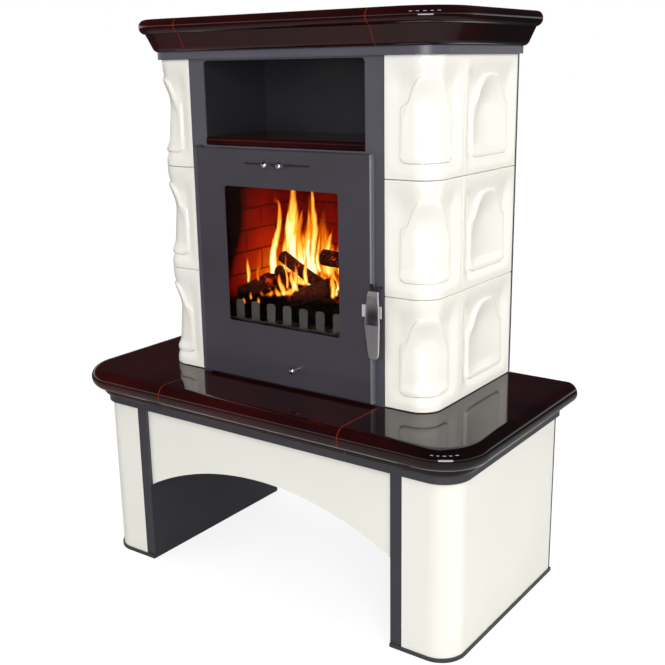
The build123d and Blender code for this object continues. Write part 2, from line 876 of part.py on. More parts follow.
cornice_end = body_half + cornice_nose + margin
save(cornice_piece(-slab_joint_x + slab_joint / 2, slab_joint_x - slab_joint / 2), "cornice_front")
both_sides(cornice_piece(slab_joint_x + slab_joint / 2, cornice_end), "cornice")

top_inset = cornice_width - ledge_wide + margin
with BuildPart() as top_plate:
    with BuildSketch(Plane.XY.offset(top_plate_z)):
        plan(body_half - top_inset, face_y + top_inset, back_y, cornice_radius - top_inset)
        with Locations((0, (face_y + back_y) / 2)):
            with GridLocations(0, vent_pitch, 1, vent_rows):
                SlotOverall(2 * vent_half, vent_high, mode=Mode.SUBTRACT)
    extrude(amount=sheet)
    with BuildSketch(Plane.XY.offset(cornice_low)):
        top_half = body_half - cornice_width - margin
        block(-top_half, top_half, back_y - sheet, back_y)
    extrude(amount=top_plate_z - cornice_low + sheet)
save(top_plate, "top_plate")

# ---------------------------------------------------------------- niche
with BuildPart() as niche_liner:
    with BuildSketch(front_plane(shell_front)):
        box_half = niche_half + thin_sheet
        block(-box_half, box_half, niche_floor - thin_sheet, niche_roof + thin_sheet)
    extrude(amount=-niche_depth)
    with BuildSketch(front_plane(shell_front)):
        block(-niche_half, niche_half, niche_floor, niche_roof)
    extrude(amount=-niche_depth + thin_sheet, mode=Mode.SUBTRACT)
save(niche_liner, "niche_liner")

shelf_gap = 1.0
shelf_proud = 2.0
shelf_round = 6.0
with BuildPart() as niche_shelf:
    with BuildSketch(Plane.XY.offset(niche_floor)):
        shelf_half = niche_half - shelf_gap
        block(-shelf_half, shelf_half, face_y - shelf_proud, shell_front + niche_depth - thin_sheet)
    extrude(amount=shelf_thick)
    fillet(niche_shelf.edges().filter_by(Axis.X).group_by(Axis.Y)[0], shelf_round)
save(niche_shelf, "niche_shelf")

# ---------------------------------------------------------------- firebox shell
with BuildPart() as firebox_shell:
    with BuildSketch(Plane.XY.offset(bench_height)):
        block(-shell_half, shell_half, shell_front, shell_back)
    extrude(amount=shell_top - bench_height)
    with BuildSketch(front_plane(shell_front)):
        block(
            -shell_half + shell_sheet,
            shell_half - shell_sheet,
            bench_height + shell_sheet,
            shell_top - shell_sheet,
        )
    extrude(amount=-(shell_depth - sheet - shell_sheet), mode=Mode.SUBTRACT)
    with BuildSketch(front_plane(face_y + flange_y)):
        block(-shell_half + margin, shell_half - margin, bench_height + margin, shell_top - margin)
        block(-flange_half, flange_half, flange_low, flange_high, mode=Mode.SUBTRACT)
    extrude(amount=-sheet)
    with BuildSketch(Plane.XY.offset(ash_shelf)):
        block(-shell_half + margin, shell_half - margin, face_y + flange_y, shell_back - margin)
    extrude(amount=sheet)
    with BuildSketch(Plane.XY.offset(hearth_z)):
        block(-shell_half + margin, shell_half - margin, face_y + flange_y, shell_back - margin)
        block(
            -grate_half + grate_rest,
            grate_half - grate_rest,
            face_y + grate_front + grate_rest,
            face_y + grate_back - grate_rest,
            mode=Mode.SUBTRACT,
        )
    extrude(amount=shell_sheet)
    with BuildSketch(Plane.XY.offset(shell_top - shell_sheet)):
        block(-duct_half + sheet, duct_half - sheet, face_y + duct_front + sheet, shell_back - shell_sheet)
    extrude(amount=shell_sheet, mode=Mode.SUBTRACT)
save(firebox_shell, "firebox_shell")

# ---------------------------------------------------------------- firebricks
lining_half = shell_half - shell_sheet - brick_gap
lining_front = face_y + flange_y + sheet + brick_gap
lining_back = shell_back - shell_sheet - brick_gap
brick_low = hearth_z + shell_sheet
inner_half = lining_half - brick_thick
inner_back = lining_back - brick_thick
brick_rows = 3
course = (brick_top - brick_low) / brick_rows

with BuildPart() as side_firebricks:
    for side in (-1, 1):
        for row in range(brick_rows):
            for column in range(2):
                brick_long = (lining_back - lining_front) / 2
                with BuildSketch(Plane.XY.offset(brick_low + row * course)):
                    block(
                        side * (lining_half - brick_thick / 2) - brick_thick / 2,
                        side * (lining_half - brick_thick / 2) + brick_thick / 2,
                        lining_front + column * brick_long,
                        lining_front + (column + 1) * brick_long - brick_gap,
                    )
                extrude(amount=course - brick_gap)
save(side_firebricks, "side_firebricks")

back_wide = 2 * (inner_half - brick_gap)
with BuildPart() as back_firebricks:
    for row in range(brick_rows):
        for column in range(3):
            with BuildSketch(Plane.XY.offset(brick_low + row * course)):
                block(
                    -back_wide / 2 + column * back_wide / 3,
                    -back_wide / 2 + (column + 1) * back_wide / 3 - brick_gap,
                    inner_back,
                    lining_back,
                )
            extrude(amount=course - brick_gap)
save(back_firebricks, "back_firebricks")

floor_half = inner_half - brick_gap
floor_back = inner_back - brick_gap
with BuildPart() as floor_firebricks:
    with BuildSketch(Plane.XY.offset(brick_low)):
        block(-floor_half, floor_half, lining_front, face_y + grate_front - brick_gap)
        block(-floor_half, floor_half, face_y + grate_back + brick_gap, floor_back)
        for side in (-1, 1):
            block(
                side * (floor_half + grate_half + brick_gap) / 2 - (floor_half - grate_half - brick_gap) / 2,
                side * (floor_half + grate_half + brick_gap) / 2 + (floor_half - grate_half - brick_gap) / 2,
                face_y + grate_front,
                face_y + grate_back,
            )
    extrude(amount=floor_brick)
save(floor_firebricks, "floor_firebricks")

with BuildPart() as baffle_plate:
    with BuildSketch(Plane.XY.offset(brick_top)):
        block(-lining_half, lining_half, face_y + baffle_front, lining_back)
    extrude(amount=baffle_thick)
    chamfer(baffle_plate.edges().filter_by(Axis.X).group_by(Axis.Y)[0], baffle_chamfer)
save(baffle_plate, "baffle_plate")

slot_pitch = 2 * (grate_half - grate_edge) / grate_slots
slot_long = grate_back - grate_front - 2 * grate_bar_end
with BuildPart() as grate:
    with BuildSketch(Plane.XY.offset(brick_low)):
        bar_half = grate_half - brick_gap
        block(-bar_half, bar_half, face_y + grate_front + brick_gap, face_y + grate_back - brick_gap)
        with Locations((0, face_y + (grate_front + grate_back) / 2)):
            with GridLocations(slot_pitch, 0, grate_slots, 1):
                SlotOverall(slot_long, slot_pitch / 2, rotation=90, mode=Mode.SUBTRACT)
    extrude(amount=grate_thick)
save(grate, "grate")

pan_front = face_y + flange_y + sheet + pan_set_back
pan_back = pan_front + pan_depth
pan_low = ash_shelf + sheet
with BuildPart() as ash_pan:
    with BuildSketch(Plane.XY.offset(pan_low)):
        block(-pan_half, pan_half, pan_front, pan_back)
    extrude(amount=pan_height)
    with BuildSketch(Plane.XY.offset(pan_low + pan_sheet)):
        inside_half = pan_half - pan_sheet
        block(-inside_half, inside_half, pan_front + pan_sheet, pan_back - pan_sheet)
    extrude(amount=pan_height - pan_sheet, mode=Mode.SUBTRACT)
    with BuildSketch(Plane.XY.offset(pan_low + pan_height - pan_sheet)):
        block(-pan_half / 3, pan_half / 3, pan_front - pan_lip, pan_front + pan_sheet)
    extrude(amount=pan_sheet)
save(ash_pan, "ash_pan")

# ---------------------------------------------------------------- smoke duct
with BuildPart() as smoke_duct:
    with BuildSketch(Plane.XY.offset(shell_top)):
        block(-duct_half, duct_half, face_y + duct_front, shell_back)
        block(
            -duct_half + sheet,
            duct_half - sheet,
            face_y + duct_front + sheet,
            shell_back - sheet,
            mode=Mode.SUBTRACT,
        )
    extrude(amount=duct_top - shell_top)
    with BuildSketch(Plane.XY.offset(duct_top - sheet)):
        block(-duct_half, duct_half, face_y + duct_front, shell_back)
    extrude(amount=sheet)
    with BuildSketch(front_plane(shell_back - sheet)):
        with Locations((0, spigot_z)):
            Circle(spigot_radius + spigot_stop)
    extrude(amount=shell_back - sheet - back_y)
    with BuildSketch(front_plane(back_y)):
        with Locations((0, spigot_z)):
            Circle(spigot_radius)
    extrude(amount=-spigot_reach)
    with BuildSketch(front_plane(shell_back - sheet)):
        with Locations((0, spigot_z)):
            Circle(spigot_radius - spigot_wall)
    extrude(amount=shell_back - sheet - back_y - spigot_reach, mode=Mode.SUBTRACT)
save(smoke_duct, "smoke_duct")

# ---------------------------------------------------------------- firewood
log_sides = 7
log_flat = 0.9009689         # flat side of a log of this many sides, as a share of its radius
log_length = 2 * (shell_half - log_border)
fire_low = brick_low + floor_brick
front_log = face_y + log_front
back_log = face_y + log_back
upper_low = fire_low + log_radius * (1 + log_flat)


def log_round(x, y, z, long, radius, turn):
    """One split log lying level on a flat side, turned in plan."""
    along = Plane(origin=(x, y, z + radius * log_flat), x_dir=(0, 0, 1), z_dir=(1, 0, 0))
    along = Plane(origin=along.origin, x_dir=along.x_dir, z_dir=along.z_dir.rotate(Axis.Z, turn))
    with BuildSketch(along) as section:
        RegularPolygon(radius, log_sides)
    extrude(section.sketch, amount=long / 2, both=True)


with BuildPart() as firewood:
    for row_y in (front_log, back_log):
        log_round(0, row_y, fire_low, log_length, log_radius, 0)
    for top_x, turn in ((-top_log_left, top_log_left_turn), (top_log_right, top_log_right_turn)):
        log_round(top_x, (front_log + back_log) / 2, upper_low, top_log_length, top_log_radius, turn)
save(firewood, "firewood")

# ---------------------------------------------------------------- door
block_wide = 12.0
block_high = 12.0
rail_end = 8.0
boss_long = 5.0
pin_bore = hinge_pin / 2 + pin_clearance
slot_half = air_knob_x + air_travel + stem_diameter
slide_z_low = air_slot_z - slide_high / 2
rail_high = 4.0
rail_lip = 4.0
boss_radius = 6.0
with BuildPart() as door_panel:
    with BuildSketch(front_plane(door_y)):
        block(-door_half, door_half, door_low, door_high)
    extrude(amount=-(door_proud - door_gap))
    fillet(door_panel.faces().sort_by(Axis.Y)[0].edges(), door_round)
    with BuildSketch(front_plane(door_back_y)):
        block(hinge_x, door_half, door_low, door_high)
    extrude(amount=-(door_rim_y - door_back_y))
    with BuildSketch(front_plane(sheet_back_y)):
        block(-door_half + door_sheet, door_half - door_sheet, door_low + door_sheet, door_high - door_sheet)
    extrude(amount=-door_proud, mode=Mode.SUBTRACT)
    with BuildSketch(front_plane(sheet_back_y)):
        for low in (door_low, door_high - block_high):
            block(-door_half + margin, hinge_x + block_wide, low, low + block_high)
    extrude(amount=-(door_back_y - sheet_back_y - liner_sheet))
    with BuildSketch(Plane.XY.offset(door_low)):
        with Locations((hinge_x, hinge_y)):
            Circle(pin_bore)
    extrude(amount=door_high - door_low, mode=Mode.SUBTRACT)
    with BuildSketch(front_plane(door_y)):
        with Locations((0, (window_low + window_high) / 2)):
            RectangleRounded(2 * window_half, window_high - window_low, window_radius)
        with Locations((air_slot_x, air_slot_z)):
            SlotOverall(2 * slot_half, air_slot_high)
    extrude(amount=-door_sheet, mode=Mode.SUBTRACT)
    rail_half = slide_width + air_travel + rail_end
    low_rail = slide_z_low - slide_play - rail_high
    high_rail = slide_z_low + slide_high + slide_play
    for rail_low, lip_low in ((low_rail, low_rail), (high_rail, high_rail - rail_lip)):
        with BuildSketch(front_plane(sheet_back_y)):
            block(air_slot_x - rail_half, air_slot_x + rail_half, rail_low, rail_low + rail_high)
        extrude(amount=-(slide_sheet + 2 * slide_play))
        with BuildSketch(front_plane(sheet_back_y + slide_sheet + 2 * slide_play)):
            block(air_slot_x - rail_half, air_slot_x + rail_half, lip_low, lip_low + rail_high + rail_lip)
        extrude(amount=-slide_sheet)
    with BuildSketch(front_plane(sheet_back_y)):
        with Locations((valve_x, valve_z)):
            Circle(boss_radius)
    extrude(amount=-boss_long)
    with BuildSketch(front_plane(door_y)):
        with Locations((valve_x, valve_z)):
            Circle(valve_rod / 2 + pin_clearance)
    extrude(amount=-door_proud, mode=Mode.SUBTRACT)
save(door_panel, "door_panel")

liner_half = door_half - door_sheet - slide_play
liner_low = door_low + door_sheet + slide_play
liner_high = door_high - door_sheet - slide_play
liner_window_half = window_half + glass_lap - liner_lap
liner_window_low = window_low - glass_lap + liner_lap
liner_window_high = window_high + glass_lap - liner_lap
seal_half = opening_half - seal_inset
seal_low = opening_low + seal_inset
seal_high = opening_high - seal_inset
liner_screw_x = seal_half - seal_width - liner_screw_edge
liner_screw_places = [(side * liner_screw_x, z) for side in (-1, 1) for z in liner_screw_rows]
with BuildPart() as door_liner:
    with BuildSketch(front_plane(liner_y)):
        block(-liner_half, liner_half, liner_low, liner_high)
        block(-liner_window_half, liner_window_half, liner_window_low, liner_window_high, mode=Mode.SUBTRACT)
        with Locations((valve_x, valve_z)):
            Circle(valve_bore, mode=Mode.SUBTRACT)
        with Locations(liner_screw_places):
            Circle(screw_radius + screw_clearance, mode=Mode.SUBTRACT)
    extrude(amount=-liner_sheet)
save(door_liner, "door_liner")

with BuildPart() as door_liner_screws:
    with BuildSketch(front_plane(liner_y + liner_sheet)):
        with Locations(liner_screw_places):
            Circle(screw_head)
    extrude(amount=-screw_head_high)
    with BuildSketch(front_plane(liner_y + liner_sheet)):
        with Locations(liner_screw_places):
            Circle(screw_radius)
    extrude(amount=liner_y + liner_sheet - sheet_back_y)
save(door_liner_screws, "door_liner_screws")

with BuildPart() as door_glass:
    with BuildSketch(front_plane(glass_y)):
        block(
            -window_half - glass_lap,
            window_half + glass_lap,
            window_low - glass_lap,
            window_high + glass_lap,
        )
    extrude(amount=-glass_thick)
save(door_glass, "door_glass")

with BuildPart() as glass_gasket:
    with BuildSketch(front_plane(sheet_back_y)):
        block(
            -window_half - glass_lap,
            window_half + glass_lap,
            window_low - glass_lap,
            window_high + glass_lap,
        )
        block(
            -window_half - glass_lap + gasket_width,
            window_half + glass_lap - gasket_width,
            window_low - glass_lap + gasket_width,
            window_high + glass_lap - gasket_width,
            mode=Mode.SUBTRACT,
        )
    extrude(amount=-gasket_thick)
save(glass_gasket, "glass_gasket")

seal_back = face_y + flange_y - slide_play
with BuildPart() as door_seal:
    with BuildSketch(front_plane(liner_y + liner_sheet)):
        with Locations((0, (seal_low + seal_high) / 2)):
            RectangleRounded(2 * seal_half, seal_high - seal_low, seal_corner)
            RectangleRounded(
                2 * (seal_half - seal_width),
                seal_high - seal_low - 2 * seal_width,
                seal_inner_corner,
                mode=Mode.SUBTRACT,
            )
    extrude(amount=-(seal_back - liner_y - liner_sheet))
    fillet(door_seal.edges().group_by(Axis.Y)[-1], seal_round)
save(door_seal, "door_seal")

with BuildPart() as log_guard:
    with BuildSketch(front_plane(face_y + guard_y)):
        block(-guard_half, guard_half, guard_low, guard_high)
        for slot in range(guard_slots):
            slot_x = (slot - (guard_slots - 1) / 2) * guard_pitch
            slot_end = slot_x + guard_slot / 2
            block(slot_x - guard_slot / 2, slot_end, guard_slot_low, guard_high, mode=Mode.SUBTRACT)
    extrude(amount=-guard_thick)
    fillet(log_guard.edges().filter_by(Axis.Y).group_by(Axis.Z)[-1], guard_tooth_round)
    fillet(log_guard.edges().filter_by(Axis.Y).group_by(Axis.Z)[1], guard_slot_round)
    with BuildSketch(Plane.XY.offset(guard_low)):
        block(-guard_half, guard_half, liner_y + liner_sheet, face_y + guard_y + guard_thick)
    extrude(amount=guard_thick)
save(log_guard, "log_guard")

# ---------------------------------------------------------------- hinge pins
lug_half = 8.0
lug_front = 4.0
pin_long = 10.0
upper_play = 0.4
lower_play = 0.8
with BuildPart() as hinge_pins:
    with BuildSketch(Plane.XY.offset(door_high + upper_play)):
        block(hinge_x - lug_half, hinge_x + lug_half, hinge_y - lug_front, face_y)
    extrude(amount=hinge_lug)
    with BuildSketch(Plane.XY.offset(door_high + upper_play)):
        with Locations((hinge_x, hinge_y)):
            Circle(hinge_pin / 2)
    extrude(amount=-pin_long)
    with BuildSketch(Plane.XY.offset(door_low - lower_play)):
        block(hinge_x - lug_half, hinge_x + lug_half, hinge_y - lug_front, face_y)
    extrude(amount=-hinge_lug)
    with BuildSketch(Plane.XY.offset(door_low - lower_play)):
        with Locations((hinge_x, hinge_y)):
            Circle(hinge_pin / 2)
    extrude(amount=pin_long)
save(hinge_pins, "hinge_pins")

# ---------------------------------------------------------------- air controls
knob_y = door_y - knob_reach
slide_y = sheet_back_y + slide_play


def knob(x, z, rod_radius, back):
    """Ball on a stem that runs from the ball to the plane y = back."""
    with BuildSketch(front_plane(back)) as stem:
        with Locations((x, z)):
            Circle(rod_radius)
    extrude(stem.sketch, amount=back - knob_y)
    with Locations((x, knob_y, z)):
        Sphere(knob_diameter / 2)


for side, name in ((-1, "air_slide_left"), (1, "air_slide_right")):
    with BuildPart() as air_slide:
        slide_near = air_slot_x + side * slide_middle_gap
        slide_far = slide_near + side * slide_width
        with BuildSketch(front_plane(slide_y)):
            near, far = sorted((slide_near, slide_far))
            block(near, far, slide_z_low, slide_z_low + slide_high)
        extrude(amount=-slide_sheet)
        knob(air_slot_x + side * air_knob_x, air_slot_z, stem_diameter / 2, slide_y)
    save(air_slide, name)

disc_y = liner_y + liner_sheet + slide_play
with BuildPart() as primary_air_valve:
    with BuildSketch(front_plane(disc_y)):
        with Locations((valve_x, valve_z)):
            Circle(valve_disc)
    extrude(amount=-sheet)
    knob(valve_x, valve_z, valve_rod / 2, disc_y)
save(primary_air_valve, "primary_air_valve")

# ---------------------------------------------------------------- latch
plate_y = door_y - plate_thick
hook_front = plate_y - latch_play - hook_thick
stud_front = hook_front - latch_play - stud_head_thick
lever_back = stud_front - slide_play
hub_radius = 8.0
shaft_radius = shaft_diameter / 2
collar_radius = shaft_radius + 2.0
collar_thick = 3.0
lever_corner = 3.0
with BuildPart() as latch_plate:
    with BuildSketch(front_plane(door_y)):
        block(plate_left, plate_right, latch_z - plate_high / 2, latch_z + plate_high / 2)
        with Locations((latch_x, latch_z)):
            Circle(shaft_radius + pin_clearance, mode=Mode.SUBTRACT)
    extrude(amount=plate_thick)
save(latch_plate, "latch_plate")

with BuildPart() as latch_hook:
    with BuildSketch(front_plane(hook_front + hook_thick)):
        with Locations((latch_x, latch_z)):
            Circle(hub_radius)
            with Locations(Rotation(0, 0, 90 + hook_lean)):
                with Locations((hook_reach / 2, 0)):
                    Rectangle(hook_reach, 2 * hook_half)
                with Locations((hook_reach, 0)):
                    Circle(hook_half)
    extrude(amount=hook_thick)
    with BuildSketch(front_plane(door_y + latch_play + collar_thick)):
        with Locations((latch_x, latch_z)):
            Circle(shaft_radius)
    extrude(amount=door_y + latch_play + collar_thick - lever_back)
    with BuildSketch(front_plane(door_y + latch_play + collar_thick)):
        with Locations((latch_x, latch_z)):
            Circle(collar_radius)
    extrude(amount=collar_thick)
save(latch_hook, "latch_hook")

with BuildPart() as handle_lever:
    with BuildSketch(front_plane(lever_back)):
        with BuildLine():
            Polyline(
                (lever_x - lever_end_width / 2, lever_top),
                (lever_x - lever_waist_width / 2 - lever_waist_lean, lever_waist),
                (lever_x - lever_end_width / 2, lever_low),
                (lever_x + lever_end_width / 2, lever_low),
                (lever_x + lever_waist_width / 2 - lever_waist_lean, lever_waist),
                (lever_x + lever_end_width / 2, lever_top),
                close=True,
            )
        make_face()
    extrude(amount=lever_thick)
    fillet(handle_lever.edges().filter_by(Axis.Y), lever_corner)
    chamfer(handle_lever.faces().sort_by(Axis.Y)[0].edges(), lever_thick / 4)
    with BuildSketch(front_plane(hook_front)):
        with Locations((latch_x, latch_z)):
            Circle(hub_radius)
            Circle(shaft_radius + pin_clearance, mode=Mode.SUBTRACT)
    extrude(amount=hook_front - lever_back)
save(handle_lever, "handle_lever")

with BuildPart() as keeper_stud:
    with BuildSketch(front_plane(face_y)):
        with Locations((stud_x, stud_z)):
            Circle(stud_radius)
    extrude(amount=face_y - stud_front)
    with BuildSketch(front_plane(hook_front - latch_play)):
        with Locations((stud_x, stud_z)):
            Circle(stud_head)
    extrude(amount=stud_head_thick)
save(keeper_stud, "keeper_stud")
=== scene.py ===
# %% [markdown]
# # Dressing a tiled stove
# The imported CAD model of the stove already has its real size, so this lesson only gives it looks.
# The glazed tiles get their pressed relief, the cherry glaze its depth, and the firebox its fire.
# Every new piece is a surface worked out with numpy, and every finish is a small tree of nodes.
# Pieces are drawn in millimetres, as in a workshop. Finishes, camera and lamps use Blender's metres.

import bpy
import numpy as np
from mathutils import Matrix, Vector


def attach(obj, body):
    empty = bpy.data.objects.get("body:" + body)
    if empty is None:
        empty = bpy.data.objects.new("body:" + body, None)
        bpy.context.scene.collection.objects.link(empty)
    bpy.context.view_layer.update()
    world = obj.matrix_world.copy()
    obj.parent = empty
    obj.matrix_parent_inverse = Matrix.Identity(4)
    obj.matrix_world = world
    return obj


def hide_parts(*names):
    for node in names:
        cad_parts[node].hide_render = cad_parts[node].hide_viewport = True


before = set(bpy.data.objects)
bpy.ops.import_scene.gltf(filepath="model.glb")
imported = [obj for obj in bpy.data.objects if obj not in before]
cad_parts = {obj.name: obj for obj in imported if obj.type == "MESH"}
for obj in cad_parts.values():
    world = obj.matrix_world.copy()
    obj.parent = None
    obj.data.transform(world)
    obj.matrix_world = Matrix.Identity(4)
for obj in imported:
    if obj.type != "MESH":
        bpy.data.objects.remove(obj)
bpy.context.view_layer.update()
mm = 0.001

# %% [markdown]
# ## The camera
# The photograph looks down a little from the right of the stove. The place, the turn and the lens
# of its camera were worked out from the stove's own edges.
# Three angles could turn a camera, but their order is easy to get wrong. So it is built from three
# directions instead: where it looks, its right and its up, with a slight roll.

# %% Place the camera
def put_in_scene(name, data):
    """Makes an object of a mesh, a lamp or a camera and puts it in the scene."""
    made = bpy.data.objects.new(name, data)
    bpy.context.scene.collection.objects.link(made)
    return made


camera_place = Vector((1.2407, -1.68475, 1.1033))
yaw, pitch, roll = np.radians([35.70, 15.14, -0.95])
look = Vector((-np.sin(yaw) * np.cos(pitch), np.cos(yaw) * np.cos(pitch), -np.sin(pitch)))
level_right = Vector((np.cos(yaw), np.sin(yaw), 0))
level_up = level_right.cross(look)
right = level_right * np.cos(roll) + level_up * np.sin(roll)
up = level_up * np.cos(roll) - level_right * np.sin(roll)
camera_data = bpy.data.cameras.new("camera")
camera_data.lens = 53.72
camera_data.clip_start = 0.05
camera = put_in_scene("camera", camera_data)
camera_turn = Matrix((right, up, -look)).transposed().to_4x4()
camera.matrix_world = Matrix.Translation(camera_place) @ camera_turn
bpy.context.scene.camera = camera
print("camera at", tuple(camera_place))

# %% [markdown]
# ## Small helpers for nodes
# A finish is a tree of nodes. Written out one node at a time it gets long, so one helper adds a
# node and fills its inputs: a plain value is set on the socket, another node's output is linked.
# The other helpers wrap the nodes that almost every finish here needs.

# %% Helpers that add a node
def fill(tree, made, inputs):
    """Gives a node its inputs: sockets are linked, numbers and colours are set."""
    for key, value in inputs.items():
        if isinstance(value, bpy.types.NodeSocket):
            tree.links.new(value, made.inputs[key])
        else:
            made.inputs[key].default_value = value
    return made


def add(tree, kind, inputs=None, **settings):
    """Adds one node with its settings and inputs."""
    made = tree.nodes.new("ShaderNode" + kind)
    for key, value in settings.items():
        setattr(made, key, value)
    return fill(tree, made, inputs or {})


def maths(tree, operation, first, second=0.0, clamp=False):
    """One sum on numbers or sockets; gives its output socket."""
    made = add(tree, "Math", {0: first, 1: second}, operation=operation, use_clamp=clamp)
    return made.outputs[0]


def rescale(tree, value, low=0.0, high=1.0, at_low=0.0, at_high=1.0, soft=False):
    """Carries low … high over to at_low … at_high and stops there; soft makes the way an S-curve."""
    reach = {"Value": value, "From Min": low, "From Max": high, "To Min": at_low, "To Max": at_high}
    curve = "SMOOTHSTEP" if soft else "LINEAR"
    return add(tree, "MapRange", reach, interpolation_type=curve).outputs[0]


print("helpers that add a node: fill, add, maths, rescale")

# %% Helpers for places and patterns
def place_on_stove(tree):
    """The place of a point on the stove, in metres from the middle of the floor below it."""
    return add(tree, "TexCoord").outputs["Object"]


def coordinate(tree, place, axis):
    """One coordinate of a place: X goes right, Y to the back and Z up."""
    return add(tree, "SeparateXYZ", {0: place}).outputs[axis]


def noise(tree, place, scale, detail, **inputs):
    """Soft random patches, scale of them in a metre; gives a number round a half."""
    return add(tree, "TexNoise", {"Vector": place, "Scale": scale, "Detail": detail, **inputs}).outputs[0]


def bump(tree, height, strength, distance):
    """A Bump node on a height; gives the normal."""
    return add(tree, "Bump", {"Height": height, "Strength": strength, "Distance": distance}).outputs[0]


print("helpers for places and patterns: place_on_stove, coordinate, noise, bump")

# %% Helpers for colours
def ramp(tree, factor, *stops):
    """A colour ramp from (place, colour) stops; gives its colour socket."""
    made = add(tree, "ValToRGB", {"Fac": factor})
    elements = made.color_ramp.elements
    while len(elements) < len(stops):
        elements.new(0.5)
    for element, (place, colour) in zip(elements, stops):
        element.position = place
        element.color = (*colour, 1)
    return made.outputs["Color"]


def blend_colours(tree, factor, first, second):
    """Mixes two colours by a mask; gives the colour socket."""
    made = add(tree, "Mix", data_type="RGBA")
    for socket, value in zip((made.inputs[0], made.inputs[6], made.inputs[7]), (factor, first, second)):
        if isinstance(value, bpy.types.NodeSocket):
            tree.links.new(value, socket)
        else:
            socket.default_value = (*value, 1)
    return made.outputs[2]


print("helpers for colours: ramp, blend_colours")

# %% Helpers for finishes and groups
def finish(name, **plain):
    """A new material; plain values such as metallic go on the Principled shader's own sockets."""
    made = bpy.data.materials.new(name)
    made.use_nodes = True
    tree = made.node_tree
    shader = tree.nodes["Principled BSDF"]
    fill(tree, shader, {key.replace("_", " "): value for key, value in plain.items()})
    return made, tree, shader


def start_group(name, inputs, outputs):
    """A node group with number inputs and the named outputs; gives its tree, its start and its end."""
    tree = bpy.data.node_groups.new(name, "ShaderNodeTree")
    for key, value in inputs.items():
        socket = tree.interface.new_socket(key, in_out="INPUT", socket_type="NodeSocketFloat")
        socket.default_value = value
    for key in outputs:
        tree.interface.new_socket(key, in_out="OUTPUT", socket_type="NodeSocketFloat")
    return tree, tree.nodes.new("NodeGroupInput").outputs, tree.nodes.new("NodeGroupOutput")


def use_group(tree, group, **inputs):
    """Places a node group in a material with its own values; gives its outputs."""
    made = add(tree, "Group", node_tree=group)
    return fill(tree, made, inputs).outputs


print("helpers for finishes and groups: finish, start_group, use_group")

# %% [markdown]
# ## Effects that several finishes share
# A poured glaze is never quite flat: it has long soft waves from the clay under it and a fine
# orange peel. A powder coat is a fine even grain with faint cloudy patches. Soot gathers upwards.
# Each could be built again in every finish, but as a node group it is built once, and the tiles,
# the cornice and the enamel place it with their own scale.

# %% The skin of a glaze
glaze_skin, given, result = start_group("glaze_skin", {"Wave": 14.0, "Peel": 420.0}, ["Tone", "Height"])
place = place_on_stove(glaze_skin)
wave = noise(glaze_skin, place, given["Wave"], 2.0)
peel = noise(glaze_skin, place, given["Peel"], 1.0)
cloud = noise(glaze_skin, place, 5.0, 4.0)
fine = maths(glaze_skin, "MULTIPLY", peel, 0.06)
fill(glaze_skin, result, {"Tone": cloud, "Height": maths(glaze_skin, "ADD", wave, fine)})
print("group:", glaze_skin.name)

# %% The grain of a powder coat
powder_coat, given, result = start_group("powder_coat", {"Grain": 1500.0}, ["Tone", "Height"])
place = place_on_stove(powder_coat)
grain = noise(powder_coat, place, given["Grain"], 2.0)
cloud = noise(powder_coat, place, 7.0, 5.0)
fill(powder_coat, result, {"Tone": cloud, "Height": grain})
print("group:", powder_coat.name)

# %% Soot that gathers upwards
soot, given, result = start_group("soot", {"Low": 0.60, "High": 0.86, "Patch": 16.0}, ["Mask"])
place = place_on_stove(soot)
rise = rescale(soot, coordinate(soot, place, "Z"), given["Low"], given["High"])
patch = noise(soot, place, given["Patch"], 5.0)
shift = maths(soot, "MULTIPLY", maths(soot, "SUBTRACT", patch, 0.5), 1.4)
fill(soot, result, {"Mask": maths(soot, "ADD", rise, shift, clamp=True)})
print("group:", soot.name)

# %% [markdown]
# ## Ceramic finishes
# The tiles wear a thick ivory glaze that gathers in the hollows, so its tone drifts a little. The
# panels of the bench wear a thinner ivory enamel, a shade darker and less glossy.
# Both are the same idea, so one helper makes them: colour and gloss drift with the tone of an
# effect, and its height roughens the light. One flat colour would look like plastic.

# %% Ivory glaze and ivory enamel
def coated(name, effect, scales, tones, gloss, relief, **plain):
    """A finish on a shared effect: two tones and two roughnesses follow its tone, bump its height."""
    made, tree, shader = finish(name, **plain)
    coat = use_group(tree, effect, **scales)
    fill(tree, shader, {
        "Base Color": ramp(tree, coat["Tone"], (0.3, tones[0]), (0.7, tones[1])),
        "Roughness": rescale(tree, coat["Tone"], at_low=gloss[0], at_high=gloss[1]),
        "Normal": bump(tree, coat["Height"], *relief),
    })
    return made


warm_ivory, pale_ivory = (0.91, 0.885, 0.80), (0.935, 0.92, 0.85)
warm_enamel, pale_enamel = (0.87, 0.855, 0.785), (0.90, 0.89, 0.82)
ivory_glaze = coated("ivory_glaze", glaze_skin, {"Wave": 16.0, "Peel": 500.0},
                     (warm_ivory, pale_ivory), (0.16, 0.28), (0.35, 0.0012))
ivory_enamel = coated("ivory_enamel", glaze_skin, {"Wave": 6.0, "Peel": 900.0},
                      (warm_enamel, pale_enamel), (0.28, 0.40), (0.15, 0.0008))
print("made the ivory glaze and the ivory enamel")

# %% [markdown]
# ## Cherry glaze
# The bench, the niche shelf and the cornice wear a cherry glaze. It is nearly black where it is
# thick, and orange-red where it runs thin, which is along the joints between the pieces.
# Painting the joints would need a picture. They lie at one distance from the middle on both sides,
# so that distance makes the mask. The glaze is also a little thinner on the left of the stove.

